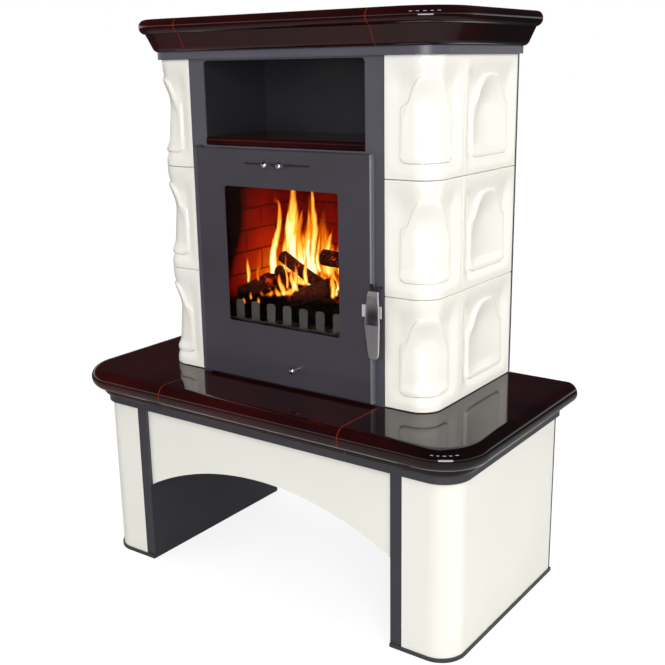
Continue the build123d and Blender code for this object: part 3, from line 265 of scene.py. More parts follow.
# %% Build the cherry glaze
nearly_black, deep_red = (0.0045, 0.0012, 0.0016), (0.034, 0.0022, 0.0020)
orange_red = (0.30, 0.042, 0.018)
joint_x = 0.232
joint_half, joint_end = 0.0005, 0.0014
thinner_leftwards = 0.35
cherry_glaze, tree, shader = finish("cherry_glaze", Specular_IOR_Level=0.55)
coat = use_group(tree, glaze_skin, Wave=9.0, Peel=380.0)
across = coordinate(tree, place_on_stove(tree), "X")
from_joint = maths(tree, "ABSOLUTE", maths(tree, "SUBTRACT", maths(tree, "ABSOLUTE", across), joint_x))
thin = rescale(tree, from_joint, joint_half, joint_end, 1.0, 0.0, soft=True)
pooled = maths(tree, "SUBTRACT", coat["Tone"], maths(tree, "MULTIPLY", across, thinner_leftwards))
thick = ramp(tree, pooled, (0.28, nearly_black), (0.72, deep_red))
fill(tree, shader, {
    "Base Color": blend_colours(tree, thin, thick, orange_red),
    "Roughness": rescale(tree, coat["Tone"], at_low=0.03, at_high=0.09),
    "Normal": bump(tree, coat["Height"], 0.22, 0.0012),
})
print("made the cherry glaze, joints", joint_x, "m from the middle")

# %% [markdown]
# ## Painted steels
# The casing is sheet steel under a satin anthracite coat with a faint violet cast. The door is a
# tone darker, what faces the fire is dull black, and the grate is rough cast iron. The same helper
# serves them all, with the powder coat's grain in place of the glaze's skin.

# %% Coat the steels
def coat_steel(name, dark, light, gloss, grain=1500.0, strength=0.06, **plain):
    """Powder-coated steel: two near tones by soft clouds, a drifting gloss, a fine grain as bump."""
    return coated(name, powder_coat, {"Grain": grain}, (dark, light), gloss, (strength, 0.0004), **plain)


anthracite_steel = coat_steel("anthracite_steel", (0.038, 0.036, 0.044), (0.047, 0.045, 0.054),
                              (0.28, 0.38))
# Painted sheen: a lighter copy of the anthracite coat for the front panel and the top band.
painted_sheen_steel = coat_steel("painted_sheen_steel", (0.074, 0.071, 0.090), (0.090, 0.086, 0.110), (0.26, 0.36))
door_steel = coat_steel("door_steel", (0.046, 0.040, 0.051), (0.056, 0.049, 0.063), (0.28, 0.38))
black_steel = coat_steel("black_steel", (0.008, 0.008, 0.010), (0.014, 0.013, 0.017), (0.5, 0.65))
# Painted shade: the niche lining is a darker copy of the anthracite coat, for the shade in the niche.
niche_shade_steel = coat_steel("niche_shade_steel", (0.019, 0.017, 0.021), (0.027, 0.025, 0.030), (0.42, 0.55))
guard_steel = coat_steel("guard_steel", (0.015, 0.0135, 0.0135), (0.020, 0.018, 0.018), (0.35, 0.45))
hook_steel = coat_steel("hook_steel", (0.006, 0.006, 0.007), (0.010, 0.010, 0.012), (0.4, 0.5))
cast_iron = coat_steel("cast_iron", (0.02, 0.018, 0.017), (0.05, 0.042, 0.038), (0.6, 0.8), 320.0, 0.5)
plate_steel = coat_steel("plate_steel", (0.60, 0.60, 0.62), (0.68, 0.68, 0.70), (0.3, 0.4), Metallic=0.2)
print("made the coated steels and the cast iron")

# %% [markdown]
# ## Painted highlights on two edges
# The opening edge of the door is painted lighter than its face, and so is the tip of the latch
# hook: a painted highlight for the bright line these edges show. Both are the right end of their
# piece, so a mask on the distance from the stove's middle finds them, and no extra piece is needed.

# %% Paint a highlight on the door's edge and the hook's tip
def paint_highlight_beyond(material, start, end, tone):
    """Blends a coated steel into a painted highlight's tone between two distances from the middle, in
    metres.
    """
    tree = material.node_tree
    shader = tree.nodes["Principled BSDF"]
    painted = shader.inputs["Base Color"].links[0].from_socket
    highlighted = rescale(tree, coordinate(tree, place_on_stove(tree), "X"), start, end)
    fill(tree, shader, {"Base Color": blend_colours(tree, highlighted, painted, tone)})


# Painted highlights: the lighter tones of the door's opening edge and of the hook's tip.
edge_highlight, tip_highlight = (0.14, 0.135, 0.15), (0.078, 0.075, 0.094)
paint_highlight_beyond(door_steel, 0.2156, 0.2170, edge_highlight)
paint_highlight_beyond(hook_steel, 0.2275, 0.2285, tip_highlight)
print("wore the door's edge and the hook's tip")

# %% [markdown]
# ## Bare metals
# The knobs are chrome in front of the door, and their stems behind its face are dull and dark.
# The screws and the ash pan are zinc-plated, and show its spangle. The lever is metal that was
# brushed along its length; its hollow is painted darker, a painted shade for the dark it mirrors.
# A bare metal's colour is the colour of its reflections, so each keeps one tone with small drifts,
# and most of its look comes from how rough it is.

# %% Chrome
stem_y, knob_y = -0.1344, -0.1352
stem_tone, dull_chrome, bright_chrome = (0.02, 0.02, 0.024), (0.80, 0.80, 0.84), (0.92, 0.92, 0.95)
chrome, tree, shader = finish("chrome")
place = place_on_stove(tree)
in_front = rescale(tree, coordinate(tree, place, "Y"), knob_y, stem_y, 1.0, 0.0)
smear = noise(tree, place, 120.0, 3.0)
polished = ramp(tree, smear, (0.3, dull_chrome), (0.7, bright_chrome))
smoother = maths(tree, "SUBTRACT", 0.44, maths(tree, "MULTIPLY", smear, 0.10))
fill(tree, shader, {
    "Base Color": blend_colours(tree, in_front, stem_tone, polished),
    "Metallic": in_front,
    "Roughness": maths(tree, "SUBTRACT", 0.50, maths(tree, "MULTIPLY", in_front, smoother)),
})
print("made the chrome")

# %% Zinc-plated steel
zinc_steel, tree, shader = finish("zinc_steel", Metallic=1.0)
spangle = add(tree, "TexVoronoi", {"Vector": place_on_stove(tree), "Scale": 90.0}).outputs["Color"]
fill(tree, shader, {
    "Base Color": ramp(tree, spangle, (0.1, (0.36, 0.37, 0.39)), (0.9, (0.60, 0.61, 0.63))),
    "Roughness": rescale(tree, spangle, at_low=0.25, at_high=0.5),
})
print("made the zinc-plated steel")

# %% Brushed metal of the lever
grey_metal, tree, shader = finish("grey_metal", Metallic=1.0)
drawn = add(tree, "Mapping", {"Vector": place_on_stove(tree), "Scale": (3000.0, 400.0, 40.0)}).outputs[0]
strokes = noise(tree, drawn, 1.0, 3.0)
brushed = ramp(tree, strokes, (0.3, (0.57, 0.545, 0.56)), (0.7, (0.73, 0.70, 0.72)))
# Painted shade: the lever's hollow is darkened towards its crease by an attribute.
lever_shade_tone = (0.09, 0.082, 0.088)
painted_shade = add(tree, "Attribute", attribute_name="painted_shade").outputs["Fac"]
fill(tree, shader, {
    "Base Color": blend_colours(tree, painted_shade, brushed, lever_shade_tone),
    "Roughness": rescale(tree, strokes, at_low=0.24, at_high=0.42),
    "Normal": bump(tree, strokes, 0.08, 0.0003),
})
print("made the brushed metal")

# %% [markdown]
# ## Glass and rope
# The window is glass ceramic, clear enough to show the fire, with a breath of soot near its top.
# Real glass bends light more, but this pane is thin, and a low index keeps a grey haze off the
# fire. The door closes on a plaited rope, whose twist is a slanted wave, both as tone and as bump.

# %% Window glass
glass, tree, shader = finish("glass", Transmission_Weight=1.0, IOR=1.06)
mask = use_group(tree, soot, Low=0.80, High=1.20, Patch=9.0)["Mask"]
clear_tone, smoked_tone = (0.98, 0.97, 0.96), (0.55, 0.50, 0.45)
fill(tree, shader, {
    "Base Color": ramp(tree, mask, (0.0, clear_tone), (1.0, smoked_tone)),
    "Roughness": rescale(tree, mask, at_high=0.08),
})
print("made the window glass")

# %% Seal rope
rope, tree, shader = finish("rope", Roughness=0.9)
waves = {"Vector": place_on_stove(tree), "Scale": 160.0, "Distortion": 3.0}
twist = add(tree, "TexWave", waves, bands_direction="DIAGONAL").outputs["Fac"]
fill(tree, shader, {
    "Base Color": ramp(tree, twist, (0.2, (0.03, 0.03, 0.03)), (0.9, (0.11, 0.105, 0.10))),
    "Normal": bump(tree, twist, 0.6, 0.0008),
})
print("made the seal rope")

# %% [markdown]
# ## Firebrick
# The firebox is lined with red brick in a running bond. The bricks are flat, so a brick pattern on
# the plain slabs of the CAD is enough. All its walls stand upright, so x + y runs along any of them
# and z goes up.
# The fire's light fades with the distance from its heart. A lamp alone would leave them dull, so
# that light is also painted on the bricks as a glow of their own. The front of the firebox, and all
# that lies below the ash, gets a painted shadow.

# %% Brick pattern
firebrick, tree, shader = finish("firebrick", Emission_Strength=1.0, Specular_IOR_Level=0.0)
place = place_on_stove(tree)
axes = add(tree, "SeparateXYZ", {0: place}).outputs
wall = add(tree, "CombineXYZ", {"X": maths(tree, "ADD", axes["X"], axes["Y"]), "Y": axes["Z"]}).outputs[0]
brick_long, row_high, mortar_wide, mortar_dark = 0.104, 0.047, 0.0024, 0.8
bond = {"Vector": wall, "Scale": 1.0, "Brick Width": brick_long, "Row Height": row_high,
        "Mortar Size": mortar_wide, "Mortar Smooth": 0.4}
mortar = add(tree, "TexBrick", bond).outputs["Fac"]
brick = maths(tree, "SUBTRACT", 1.0, maths(tree, "MULTIPLY", mortar, mortar_dark))
pores = noise(tree, place, 60.0, 6.0)
print("bricks:", brick_long, "by", row_high, "m, mortar", mortar_wide, "m")

# %% Light and shadow on the bricks
fire_half, fire_y, fire_z = 0.15, 0.05, 0.655
lower = rescale(tree, axes["Z"], 0.63, 0.78, 0.055, 0.0, soft=True)
out_of_shadow = rescale(tree, maths(tree, "ADD", axes["Y"], lower), -0.050, -0.022, soft=True)
above_ash = rescale(tree, axes["Z"], 0.600, 0.630, soft=True)
lit = maths(tree, "MULTIPLY", out_of_shadow, above_ash)
beside = maths(tree, "SUBTRACT", maths(tree, "ABSOLUTE", axes["X"]), fire_half)
from_fire = add(tree, "CombineXYZ", {"X": maths(tree, "MAXIMUM", beside, 0.0),
                                     "Y": maths(tree, "SUBTRACT", axes["Y"], fire_y),
                                     "Z": maths(tree, "SUBTRACT", axes["Z"], fire_z)}).outputs[0]
away = add(tree, "VectorMath", {0: from_fire}, operation="LENGTH").outputs["Value"]
uneven = maths(tree, "MULTIPLY", maths(tree, "SUBTRACT", pores, 0.5), 0.05)
shade = maths(tree, "MULTIPLY", maths(tree, "ADD", away, uneven), 4.0)
orange_glow, red_glow = (0.62, 0.085, 0.001), (0.30, 0.011, 0.0)
dark_glow, last_glow = (0.105, 0.0004, 0.0), (0.035, 0.0, 0.0)
# Painted fire light: the bricks' glow fades with the distance from the fire's heart.
painted_fire_light = ramp(tree, shade, (0.08, orange_glow), (0.27, red_glow), (0.48, dark_glow), (0.85, last_glow))
print("bricks glow round x 0, y", fire_y, "and z", fire_z)

# %% Firebrick put together
sooted = use_group(tree, soot, Low=0.50, High=1.05, Patch=9.0)["Mask"]
soot_tone, shadow_tone = (0.008, 0.004, 0.003), (0.003, 0.002, 0.002)
mortar_tone, no_glow = (0.01, 0.006, 0.005), (0.0, 0.0, 0.0)
clay = ramp(tree, pores, (0.25, (0.050, 0.004, 0.002)), (0.75, (0.12, 0.009, 0.004)))
clay = blend_colours(tree, sooted, clay, soot_tone)
clay = blend_colours(tree, lit, shadow_tone, clay)
glowing = maths(tree, "MULTIPLY", lit, brick)
fill(tree, shader, {
    "Base Color": blend_colours(tree, brick, mortar_tone, clay),
    "Roughness": rescale(tree, pores, at_low=0.75, at_high=0.95),
    "Emission Color": blend_colours(tree, glowing, no_glow, painted_fire_light),
    "Normal": bump(tree, maths(tree, "ADD", brick, maths(tree, "MULTIPLY", pores, 0.3)), 0.7, 0.002),
})
print("made the firebrick")

# %% [markdown]
# ## Charred wood with embers
# A burning log is brown-black bark in long furrows, with a few glowing cracks. The furrows have to
# follow each log wherever it lies, which a place in the room can't do. So the logs carry two
# attributes, along and turn, and the pattern is stretched over those. Embers show where two
# patterns are both high, less so near the ash, where the logs also lie in shadow.

# %% Build the charred wood
charred_wood, tree, shader = finish("charred_wood", Emission_Strength=2.0, Specular_IOR_Level=0.05)
place = place_on_stove(tree)
height = coordinate(tree, place, "Z")
along = add(tree, "Attribute", attribute_name="along").outputs["Fac"]
turn = add(tree, "Attribute", attribute_name="turn").outputs["Fac"]
on_bark = add(tree, "CombineXYZ", {"X": maths(tree, "MULTIPLY", turn, 14.0),
                                   "Y": maths(tree, "MULTIPLY", along, 7.0)}).outputs[0]
furrows = noise(tree, on_bark, 2.0, 6.0)
crumbs = noise(tree, place, 140.0, 6.0)
patches = noise(tree, place, 30.0, 5.0)
low_down = rescale(tree, height, 0.622, 0.606, 0.03, -0.08)
cracks = maths(tree, "MULTIPLY", patches, maths(tree, "ADD", furrows, 0.5))
glow = maths(tree, "ADD", cracks, low_down)
above_shadow = rescale(tree, height, 0.612, 0.640, soft=True)
coal_black, bark_brown = (0.006, 0.0010, 0.0005), (0.070, 0.011, 0.004)
in_the_dark = (0.001, 0.0008, 0.0008)
bark = ramp(tree, furrows, (0.3, coal_black), (0.65, bark_brown))
dull_ember, bright_ember = (0.30, 0.012, 0.0), (1.0, 0.22, 0.02)
embers = ramp(tree, glow, (0.66, no_glow), (0.74, dull_ember), (0.88, bright_ember))
relief = maths(tree, "ADD", furrows, maths(tree, "MULTIPLY", crumbs, 0.3))
fill(tree, shader, {
    "Base Color": blend_colours(tree, above_shadow, in_the_dark, bark),
    "Roughness": rescale(tree, crumbs, at_low=0.7, at_high=0.95),
    "Emission Color": embers,
    "Normal": bump(tree, relief, 0.9, 0.006),
})
print("made the charred wood")

# %% [markdown]
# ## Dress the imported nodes
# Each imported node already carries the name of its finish, so one dictionary dresses them all.
# Six nodes look different from their neighbours of the same steel in the photograph: they get a
# finish of their own, and their shapes stay as packed.

# %% Assign the finishes
def slot_name(material):
    """The name of a finish without the number that Blender adds to a second one."""
    return material.name.split(".")[0]


finishes = {slot_name(made): made for made in (
    ivory_glaze, ivory_enamel, cherry_glaze, anthracite_steel, door_steel, black_steel, zinc_steel,
    grey_metal, glass, rope, chrome, firebrick, cast_iron, charred_wood)}
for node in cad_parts.values():
    for node_slot in node.material_slots:
        node_slot.material = finishes[slot_name(node_slot.material)]
own_finishes = {
    # painted shade: the niche's darker coat
    "latch_plate": plate_steel, "latch_hook": hook_steel, "niche_liner": niche_shade_steel,
    # painted sheen: the casing's lighter coat
    "log_guard": guard_steel, "front_panel": painted_sheen_steel, "top_band": painted_sheen_steel,
}
for name, made in own_finishes.items():
    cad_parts[name].material_slots[0].material = made
print("dressed", len(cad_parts), "nodes,", len(own_finishes), "with a finish of their own")

# %% [markdown]
# ## Helpers for surfaces
# A surface is a grid of points: one parameter goes along, the other across. The same few lines
# turn any grid into faces, so each piece only has to say where its points are. A closed tube is a
# grid that is joined to itself, with a fan of triangles at each end.

# %% Faces of a grid and of a tube
def soft_step(value, low, high):
    """0 below low, 1 above high, and between them the S-curve 3t² − 2t³."""
    t = np.clip((value - low) / (high - low), 0, 1)
    return t * t * (3 - 2 * t)


def grid_quads(rows, columns, wrap=False):
    """Faces between neighbours of a rows × columns grid; wrap joins the last column to the first."""
    index = np.arange(rows * columns).reshape(rows, columns)
    if wrap:
        index = np.concatenate([index, index[:, :1]], axis=1)
    corners = (index[:-1, :-1], index[:-1, 1:], index[1:, 1:], index[1:, :-1])
    return np.stack([corner.ravel() for corner in corners], axis=1)


def closed_tube(rings):
    """A closed skin over rings of points: quads between rings, and a fan to the middle at each end."""
    count, around = rings.shape[:2]
    points = np.concatenate([rings.reshape(-1, 3), rings[0].mean(0)[None], rings[-1].mean(0)[None]])
    here = np.arange(around)
    after = np.roll(here, -1)
    first_middle, last_middle = np.full(around, count * around), np.full(around, count * around + 1)
    last_ring = (count - 1) * around
    first = np.stack([first_middle, after, here], axis=1)
    last = np.stack([last_middle, here + last_ring, after + last_ring], axis=1)
    return points, grid_quads(count, around, wrap=True).tolist() + first.tolist() + last.tolist()


print("surface helpers: soft_step, grid_quads, closed_tube")

# %% Put a piece on its body
def make_piece(name, points, faces, material, body, crease=40, values=None):
    """Puts points (in millimetres) and faces into a mesh object that rides on a body. Edges that
    turn by more than crease degrees stay sharp; values go on the points as attributes."""
    mesh = bpy.data.meshes.new(name)
    mesh.from_pydata((np.asarray(points) * mm).tolist(), [], [list(face) for face in faces])
    mesh.update()
    for key, value in (values or {}).items():
        mesh.attributes.new(key, "FLOAT", "POINT").data.foreach_set("value", value.astype(np.float32))
    mesh.polygons.foreach_set("use_smooth", np.ones(len(mesh.polygons), bool))
    mesh.set_sharp_from_angle(angle=np.radians(crease))
    mesh.materials.append(material)
    piece = put_in_scene(name, mesh)
    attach(piece, body)
    return piece


print("pieces are made by make_piece")

# %% [markdown]
# ## The pressed tiles
# A stove tile is pressed into a mould. Its face has a flat rim, a soft hollow inside the rim, and a
# raised panel shaped like a squat bottle whose own face is scooped out again.
# A bump map would leave the outline flat where a corner tile turns the corner, so the relief is real:
# each point of the tile's face is pushed in along the face's own normal by a depth in millimetres.
# The new tiles stand in for the plain CAD tiles in the picture, each for its own node.
# The tables read the bottle from its top: how far down, and there how wide or how deep. Each pair
# says where a soft step starts and ends.

# %% Sizes of the relief
tile_high = 222.0
cove_deep, rim_rounding = 8.0, 1.1
cove_sides, cove_top, cove_foot = (4, 38), (6, 62), (10, 44)
panel_edge, panel_top, panel_foot = (-3.6, 0.6), (33.5, 38.0), (28.0, 31.5)
panel_drop = np.array([36, 37, 39, 41, 44, 48, 54, 60, 67, 74,
                       80, 84, 87, 90, 93, 96, 100, 180, 186, 191.0])
panel_width = np.array([0, 8, 17, 22, 26.5, 30, 34, 37, 40, 42.5,
                        44.5, 47, 51.5, 57, 60.5, 61.8, 62, 62, 60, 52])
dish_drop = np.array([36, 44, 60, 75, 90, 105, 120, 191.0])
dish_width = np.array([8, 20, 33, 40, 47, 54, 57, 57.0])
deep_drop = np.array([31, 40, 44, 50, 58, 66, 74, 82, 92, 104, 120, 140, 158, 168, 176, 184, 222.0])
dish_deep = np.array([0, 0.2, 1.2, 3.2, 6.2, 9.0, 11.4, 13.0, 13.8,
                      13.2, 11.8, 10.2, 9.0, 7.6, 4.8, 1.2, 0.0])
edge_deep = np.array([0, 0.2, 0.5, 1.0, 1.6, 2.1, 2.5, 2.7, 2.8,
                      2.8, 2.8, 2.8, 2.7, 2.4, 1.4, 0.3, 0.0])
print("panel:", panel_drop[-1] - panel_drop[0], "mm high,", 2 * panel_width.max(), "mm wide")

# %% Relief of one tile
def tile_relief(beside, above, wide, middle, broad, scooped):
    """Depth below the rim, in mm: a soft hollow grows from all four edges; the bottle-shaped panel
    rises out of it, and its face sinks again as one minus the square of the way to its edge."""
    drop = tile_high - above
    to_side = np.minimum(beside, wide - beside)
    cove = cove_deep * soft_step(to_side, *cove_sides) * soft_step(drop, *cove_top)
    cove = cove * soft_step(above, *cove_foot)
    off = np.abs(beside - middle)
    half = np.interp(drop, panel_drop, panel_width) * broad
    slope = np.gradient(half, above[0], axis=1)
    inside = (half - off) / np.sqrt(1 + slope ** 2)
    panel = soft_step(inside, *panel_edge) * soft_step(drop, *panel_top) * soft_step(above, *panel_foot)
    shallow = np.interp(drop, deep_drop, edge_deep)
    deep = np.interp(drop, deep_drop, dish_deep) * scooped
    dish_half = np.interp(drop, dish_drop, dish_width) * broad
    dish = np.clip(1 - (off / dish_half) ** 2, 0, 1)
    face = shallow + np.maximum(deep - shallow, 0) * dish
    to_edge = np.minimum(to_side, np.minimum(above, drop))
    short = np.clip(rim_rounding - to_edge, 0, rim_rounding)
    rounding = rim_rounding - np.sqrt(rim_rounding ** 2 - short ** 2)
    return cove * (1 - panel) + face * panel + rounding


print("a tile's depth is worked out by tile_relief")

# %% [markdown]
# ## Plans of the two kinds of tile
# Seen from above, a side tile is a straight line and a corner tile is two straight stretches with a
# quarter circle between them. Each plan gives the points along the tile and the direction in which
# its face looks there, and one function makes both kinds from it.

# %% Lines of the tiles in plan
body_half, face_y, corner_radius = 344.0, -120.25, 46.0
corner_start, corner_side, side_start, side_end = 240.8, 117.0, -1.75, 218.25
bend_start = body_half - corner_radius - corner_start
bend_long = corner_radius * np.pi / 2


def corner_line(s):
    """Plan of a corner tile: straight to the bend, round the bend, straight again, with normals."""
    angle = np.clip((s - bend_start) / corner_radius, 0, np.pi / 2)
    after = np.maximum(s - bend_start - bend_long, 0)
    x = corner_start + np.minimum(s, bend_start) + corner_radius * np.sin(angle)
    y = face_y + corner_radius * (1 - np.cos(angle)) + after
    return np.stack([x, y], axis=1), np.stack([np.sin(angle), -np.cos(angle)], axis=1)


def side_line(s):
    """Plan of a side tile: one straight run on the side of the stove, which looks to the right."""
    x = np.full(len(s), body_half)
    return np.stack([x, side_start + s], axis=1), np.stack([np.ones(len(s)), np.zeros(len(s))], axis=1)


corner_long = bend_start + bend_long + corner_side - corner_radius
side_long = side_end - side_start
print("corner tile", round(corner_long, 1), "mm round, side tile", side_long, "mm wide")

# %% Skin of one tile
tile_deep, tile_step = 28.0, 1.5


def graded(length, step):
    """Stations from 0 to length, close together at both ends so that the rounded rim stays round."""
    near = np.array([0, 0.15, 0.5, 1.0, 1.8])
    middle = np.linspace(near[-1], length - near[-1], int(length / step))[1:-1]
    return np.concatenate([near, middle, length - near[::-1]])


def tile_skin(line, length, middle, broad, scooped):
    """A closed tile: the relief in front, a plain back, and walls between them."""
    across, above = graded(length, tile_step), graded(tile_high, tile_step)
    place, normal = line(across)
    s, h = np.meshgrid(across, above, indexing="ij")
    depth = tile_relief(s, h, length, middle, broad, scooped)
    plan_points = place[:, None, :] - normal[:, None, :] * depth[:, :, None]
    front = np.concatenate([plan_points, h[:, :, None]], axis=2).reshape(-1, 3)
    back = place - normal * tile_deep
    low = np.concatenate([back, np.zeros((len(across), 1))], axis=1)
    high = np.concatenate([back, np.full((len(across), 1), tile_high)], axis=1)
    columns, rows = len(across), len(above)
    index = np.arange(columns * rows).reshape(columns, rows)
    low_index = columns * rows + np.arange(columns)
    high_index = low_index + columns
    faces = grid_quads(columns, rows)[:, ::-1].tolist()
    for wall in ((index[:-1, -1], index[1:, -1], high_index[1:], high_index[:-1]),
                 (index[:-1, 0], low_index[:-1], low_index[1:], index[1:, 0]),
                 (low_index[:-1], high_index[:-1], high_index[1:], low_index[1:])):
        faces += np.stack(wall, axis=1).tolist()
    faces.append([*index[0], high_index[0], low_index[0]])
    faces.append([*index[-1][::-1], low_index[-1], high_index[-1]])
    return np.concatenate([front, low, high]), faces


corner_middle, side_broad, side_scooped = 95.0, 1.2, 0.85
shapes = {
    "corner_tile": tile_skin(corner_line, corner_long, corner_middle, 1.0, 1.0),
    "side_tile": tile_skin(side_line, side_long, side_long / 2, side_broad, side_scooped),
}
print("points of a tile:", {kind: len(points) for kind, (points, faces) in shapes.items()})

# %% Build the tiles
row_low, row_pitch, row_count = 448.5, 223.5, 3
for kind, (points, faces) in shapes.items():
    mirrored_faces = [face[::-1] for face in faces]
    for row in range(row_count):
        for side, sign, turned in (("right", 1, faces), ("left", -1, mirrored_faces)):
            placed = points * (sign, 1, 1) + (0, 0, row_low + row * row_pitch)
            tile = make_piece(f"{kind}_{side}_{row + 1}_face", placed, turned, ivory_glaze, "stove")
            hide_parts(f"{kind}_{side}_{row + 1}")
print("tiles:", 2 * row_count * len(shapes))

# %% [markdown]
# ## The door lever
# The lever is a thin blade of brushed metal that hangs from the latch. Its upper half is hollowed
# and ends in a crisp crease, its lower half is flat with a rounded end. The hollow is painted
# darker towards the crease, a painted shade: an attribute carries that to the finish.
# A box with its hollow cut out would need care at the crease, so it is a tube of flat rings: each
# ring is one level of the blade, front and back.

# %% Sizes of the lever
blade_levels = np.concatenate([np.linspace(550, 556, 8), np.linspace(558, 616.6, 26), [617.6],
                               np.linspace(619, 676, 30), np.linspace(677, 684, 8)])
width_levels = [550, 552, 556, 562, 617, 660, 680, 683, 684]
left_edge = [222, 219.5, 218, 217, 209.6, 213.6, 216.4, 217.5, 219]
right_edge = [235, 237.6, 239.4, 240.4, 241.8, 240.4, 239.4, 238.6, 237]
blade_front, blade_back = -144.6, -139.4
crease_level, crease_run = 617.6, 9
blade_hollow, edge_rounding, front_lean, back_lean, darkest_shade = 2.6, 0.55, 2.0, 0.9, 0.92
hollow_fade, shade_fade, head_fade = (680, 640), (676, 634), (672, 684)
print("blade:", blade_levels[-1] - blade_levels[0], "mm long, crease at", crease_level)

# %% Build the lever
def blade_rings():
    """Rings up the blade, with t from −1 to 1 across it. The front sinks by the hollow's depth times
    1 − |t|³ above the crease, its edges are rounded by t⁸, and its top leans back."""
    t = np.linspace(-1, 1, 25)[None, :]
    left = np.interp(blade_levels, width_levels, left_edge)[:, None]
    right = np.interp(blade_levels, width_levels, right_edge)[:, None]
    levels = blade_levels[:, None]
    above_crease = np.clip((levels - crease_level) / crease_run, 0, 1)
    sunk = blade_hollow * soft_step(levels, *hollow_fade) * above_crease
    head = soft_step(levels, *head_fade)
    x = (left + right) / 2 + (right - left) / 2 * t
    front_y = blade_front + edge_rounding * t ** 8 + front_lean * head + sunk * (1 - np.abs(t) ** 3)
    back_y = np.broadcast_to(blade_back + back_lean * head, x.shape)
    z = np.broadcast_to(levels, x.shape)
    front = np.stack([x, front_y, z], axis=2)
    back = np.stack([x[:, ::-1], back_y, z], axis=2)
    # Painted shade: how far the hollow is darkened, most just above the crease.
    dark = darkest_shade * soft_step(levels, *shade_fade) * (levels >= crease_level) * (1 - np.abs(t) ** 6)
    painted_shade = np.concatenate([dark, 0 * dark], axis=1).ravel()
    return np.concatenate([front, back], axis=1), np.append(painted_shade, [0, 0])


rings, painted_shade = blade_rings()
points, faces = closed_tube(rings)
lever = make_piece("lever_blade", points, faces, grey_metal, "handle", 12, {"painted_shade": painted_shade})
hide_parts("handle_lever")
print("lever points:", len(points))

# %% [markdown]
# ## The logs
# Charred logs are never round: the bark is ridged and eaten away. Sculpting each log by hand would
# take long, so each is a tube whose radius is a sum of waves round and along it. Their phases are
# random but seeded, so the result never changes.

# %% Shape of one log
bark_waves = ((2, 1.5, 1.0), (3, 4, 0.7), (7, 9, 0.5), (13, 17, 0.35), (19, 31, 0.25))
bark_loss, blunt_end, log_bow = 0.20, 3.5, 2.5
log_stations, log_sides = 70, 56


def log_rings(centre, turn, tilt, long, radius, seed):
    """Rings along a log: radius times one minus a share of summed sine waves, ends rounded off.
    The line of the log is turned in plan and tilted, in degrees, and sags by half a sine wave."""
    draw = np.random.default_rng(seed)
    along = np.linspace(0, 1, log_stations)
    angle = np.linspace(0, 2 * np.pi, log_sides, endpoint=False)
    a, b = np.meshgrid(along, angle, indexing="ij")
    bark = np.zeros_like(a)
    for count, stretch, share in bark_waves:
        phases = draw.uniform(0, 2 * np.pi, 2)
        bark += share * np.sin(count * b + phases[0] + np.sin(stretch * 2 * a + phases[1]))
        bark += 0.4 * share * np.sin(stretch * 2 * np.pi * a + phases[1] + count)
    bark = (bark - bark.min()) / (bark.max() - bark.min())
    to_end = np.clip(np.minimum(a, 1 - a) * long / blunt_end, 0, 1)
    blunt = np.sqrt(np.clip(1 - (1 - to_end) ** 2, 0.55, 1))
    r = radius * (0.98 - bark_loss * bark) * blunt
    way = (a - 0.5) * long
    turn, tilt = np.radians(turn), np.radians(tilt)
    level = way * np.cos(tilt) - np.sin(b) * r * np.sin(tilt)
    x = centre[0] + level * np.cos(turn) - np.cos(b) * r * np.sin(turn)
    y = centre[1] + level * np.sin(turn) + np.cos(b) * r * np.cos(turn)
    z = centre[2] + way * np.sin(tilt) + np.sin(b) * r * np.cos(tilt) - log_bow * np.sin(np.pi * a)
    return np.stack([x, y, z], axis=2), a.ravel(), b.ravel()


print("a log has", log_stations * log_sides + 2, "points and", len(bark_waves), "kinds of wave")

# %% Build the logs
log_plan = [  # centre, turn, tilt, length, radius, seed
    ((0, -25.25, 594), 0, 0, 288, 35, 3),
    ((0, 64.75, 594), 0, 0, 288, 35, 8),
    ((-78, 42, 640), 62, 0, 160, 23, 12),
    ((80, 40, 646), 108, 0, 160, 23, 21),
    ((-40, -15, 677), 0, -27, 116, 15, 5),
    ((18, -58, 643), 0, 21, 122, 19, 17),
    ((70, 0, 705), 8, -3, 118, 19, 30),
    ((-99, -14, 660), 129, 0, 80, 14, 41),
    ((-131, -58, 637), 0, 27, 92, 20, 52),
]
log_points, log_faces, log_along, log_turn, before = [], [], [], [], 0
for plan in log_plan:
    rings, along, around = log_rings(*plan)
    points, faces = closed_tube(rings)
    log_points.append(points)
    log_faces += [[corner + before for corner in face] for face in faces]
    log_along.append(np.append(along, [0, 1]))
    log_turn.append(np.append(around, [0, 0]) / (2 * np.pi) + plan[-1])
    before += len(points)
bark_values = {"along": np.concatenate(log_along), "turn": np.concatenate(log_turn)}
logs = make_piece("charred_logs", np.concatenate(log_points), log_faces, charred_wood, "stove", 60,
                  bark_values)
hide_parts("firewood")
print("logs:", len(log_plan), "points:", before)

# %% [markdown]
# ## The flames
# A fire is many thin sheets of glowing gas, one behind the other. A cloud of smoke and fire would
# have to be simulated, and it can't leave Blender with the model. So three waving sheets stand in
# the firebox. Each holds a heat at every point, the sum of its tongues, so flames melt into one
# another low down and part into tips. The heat rides on the mesh as an attribute and sets glow and
# alpha. The attribute is called warmth, because Cycles keeps the name heat for smoke.

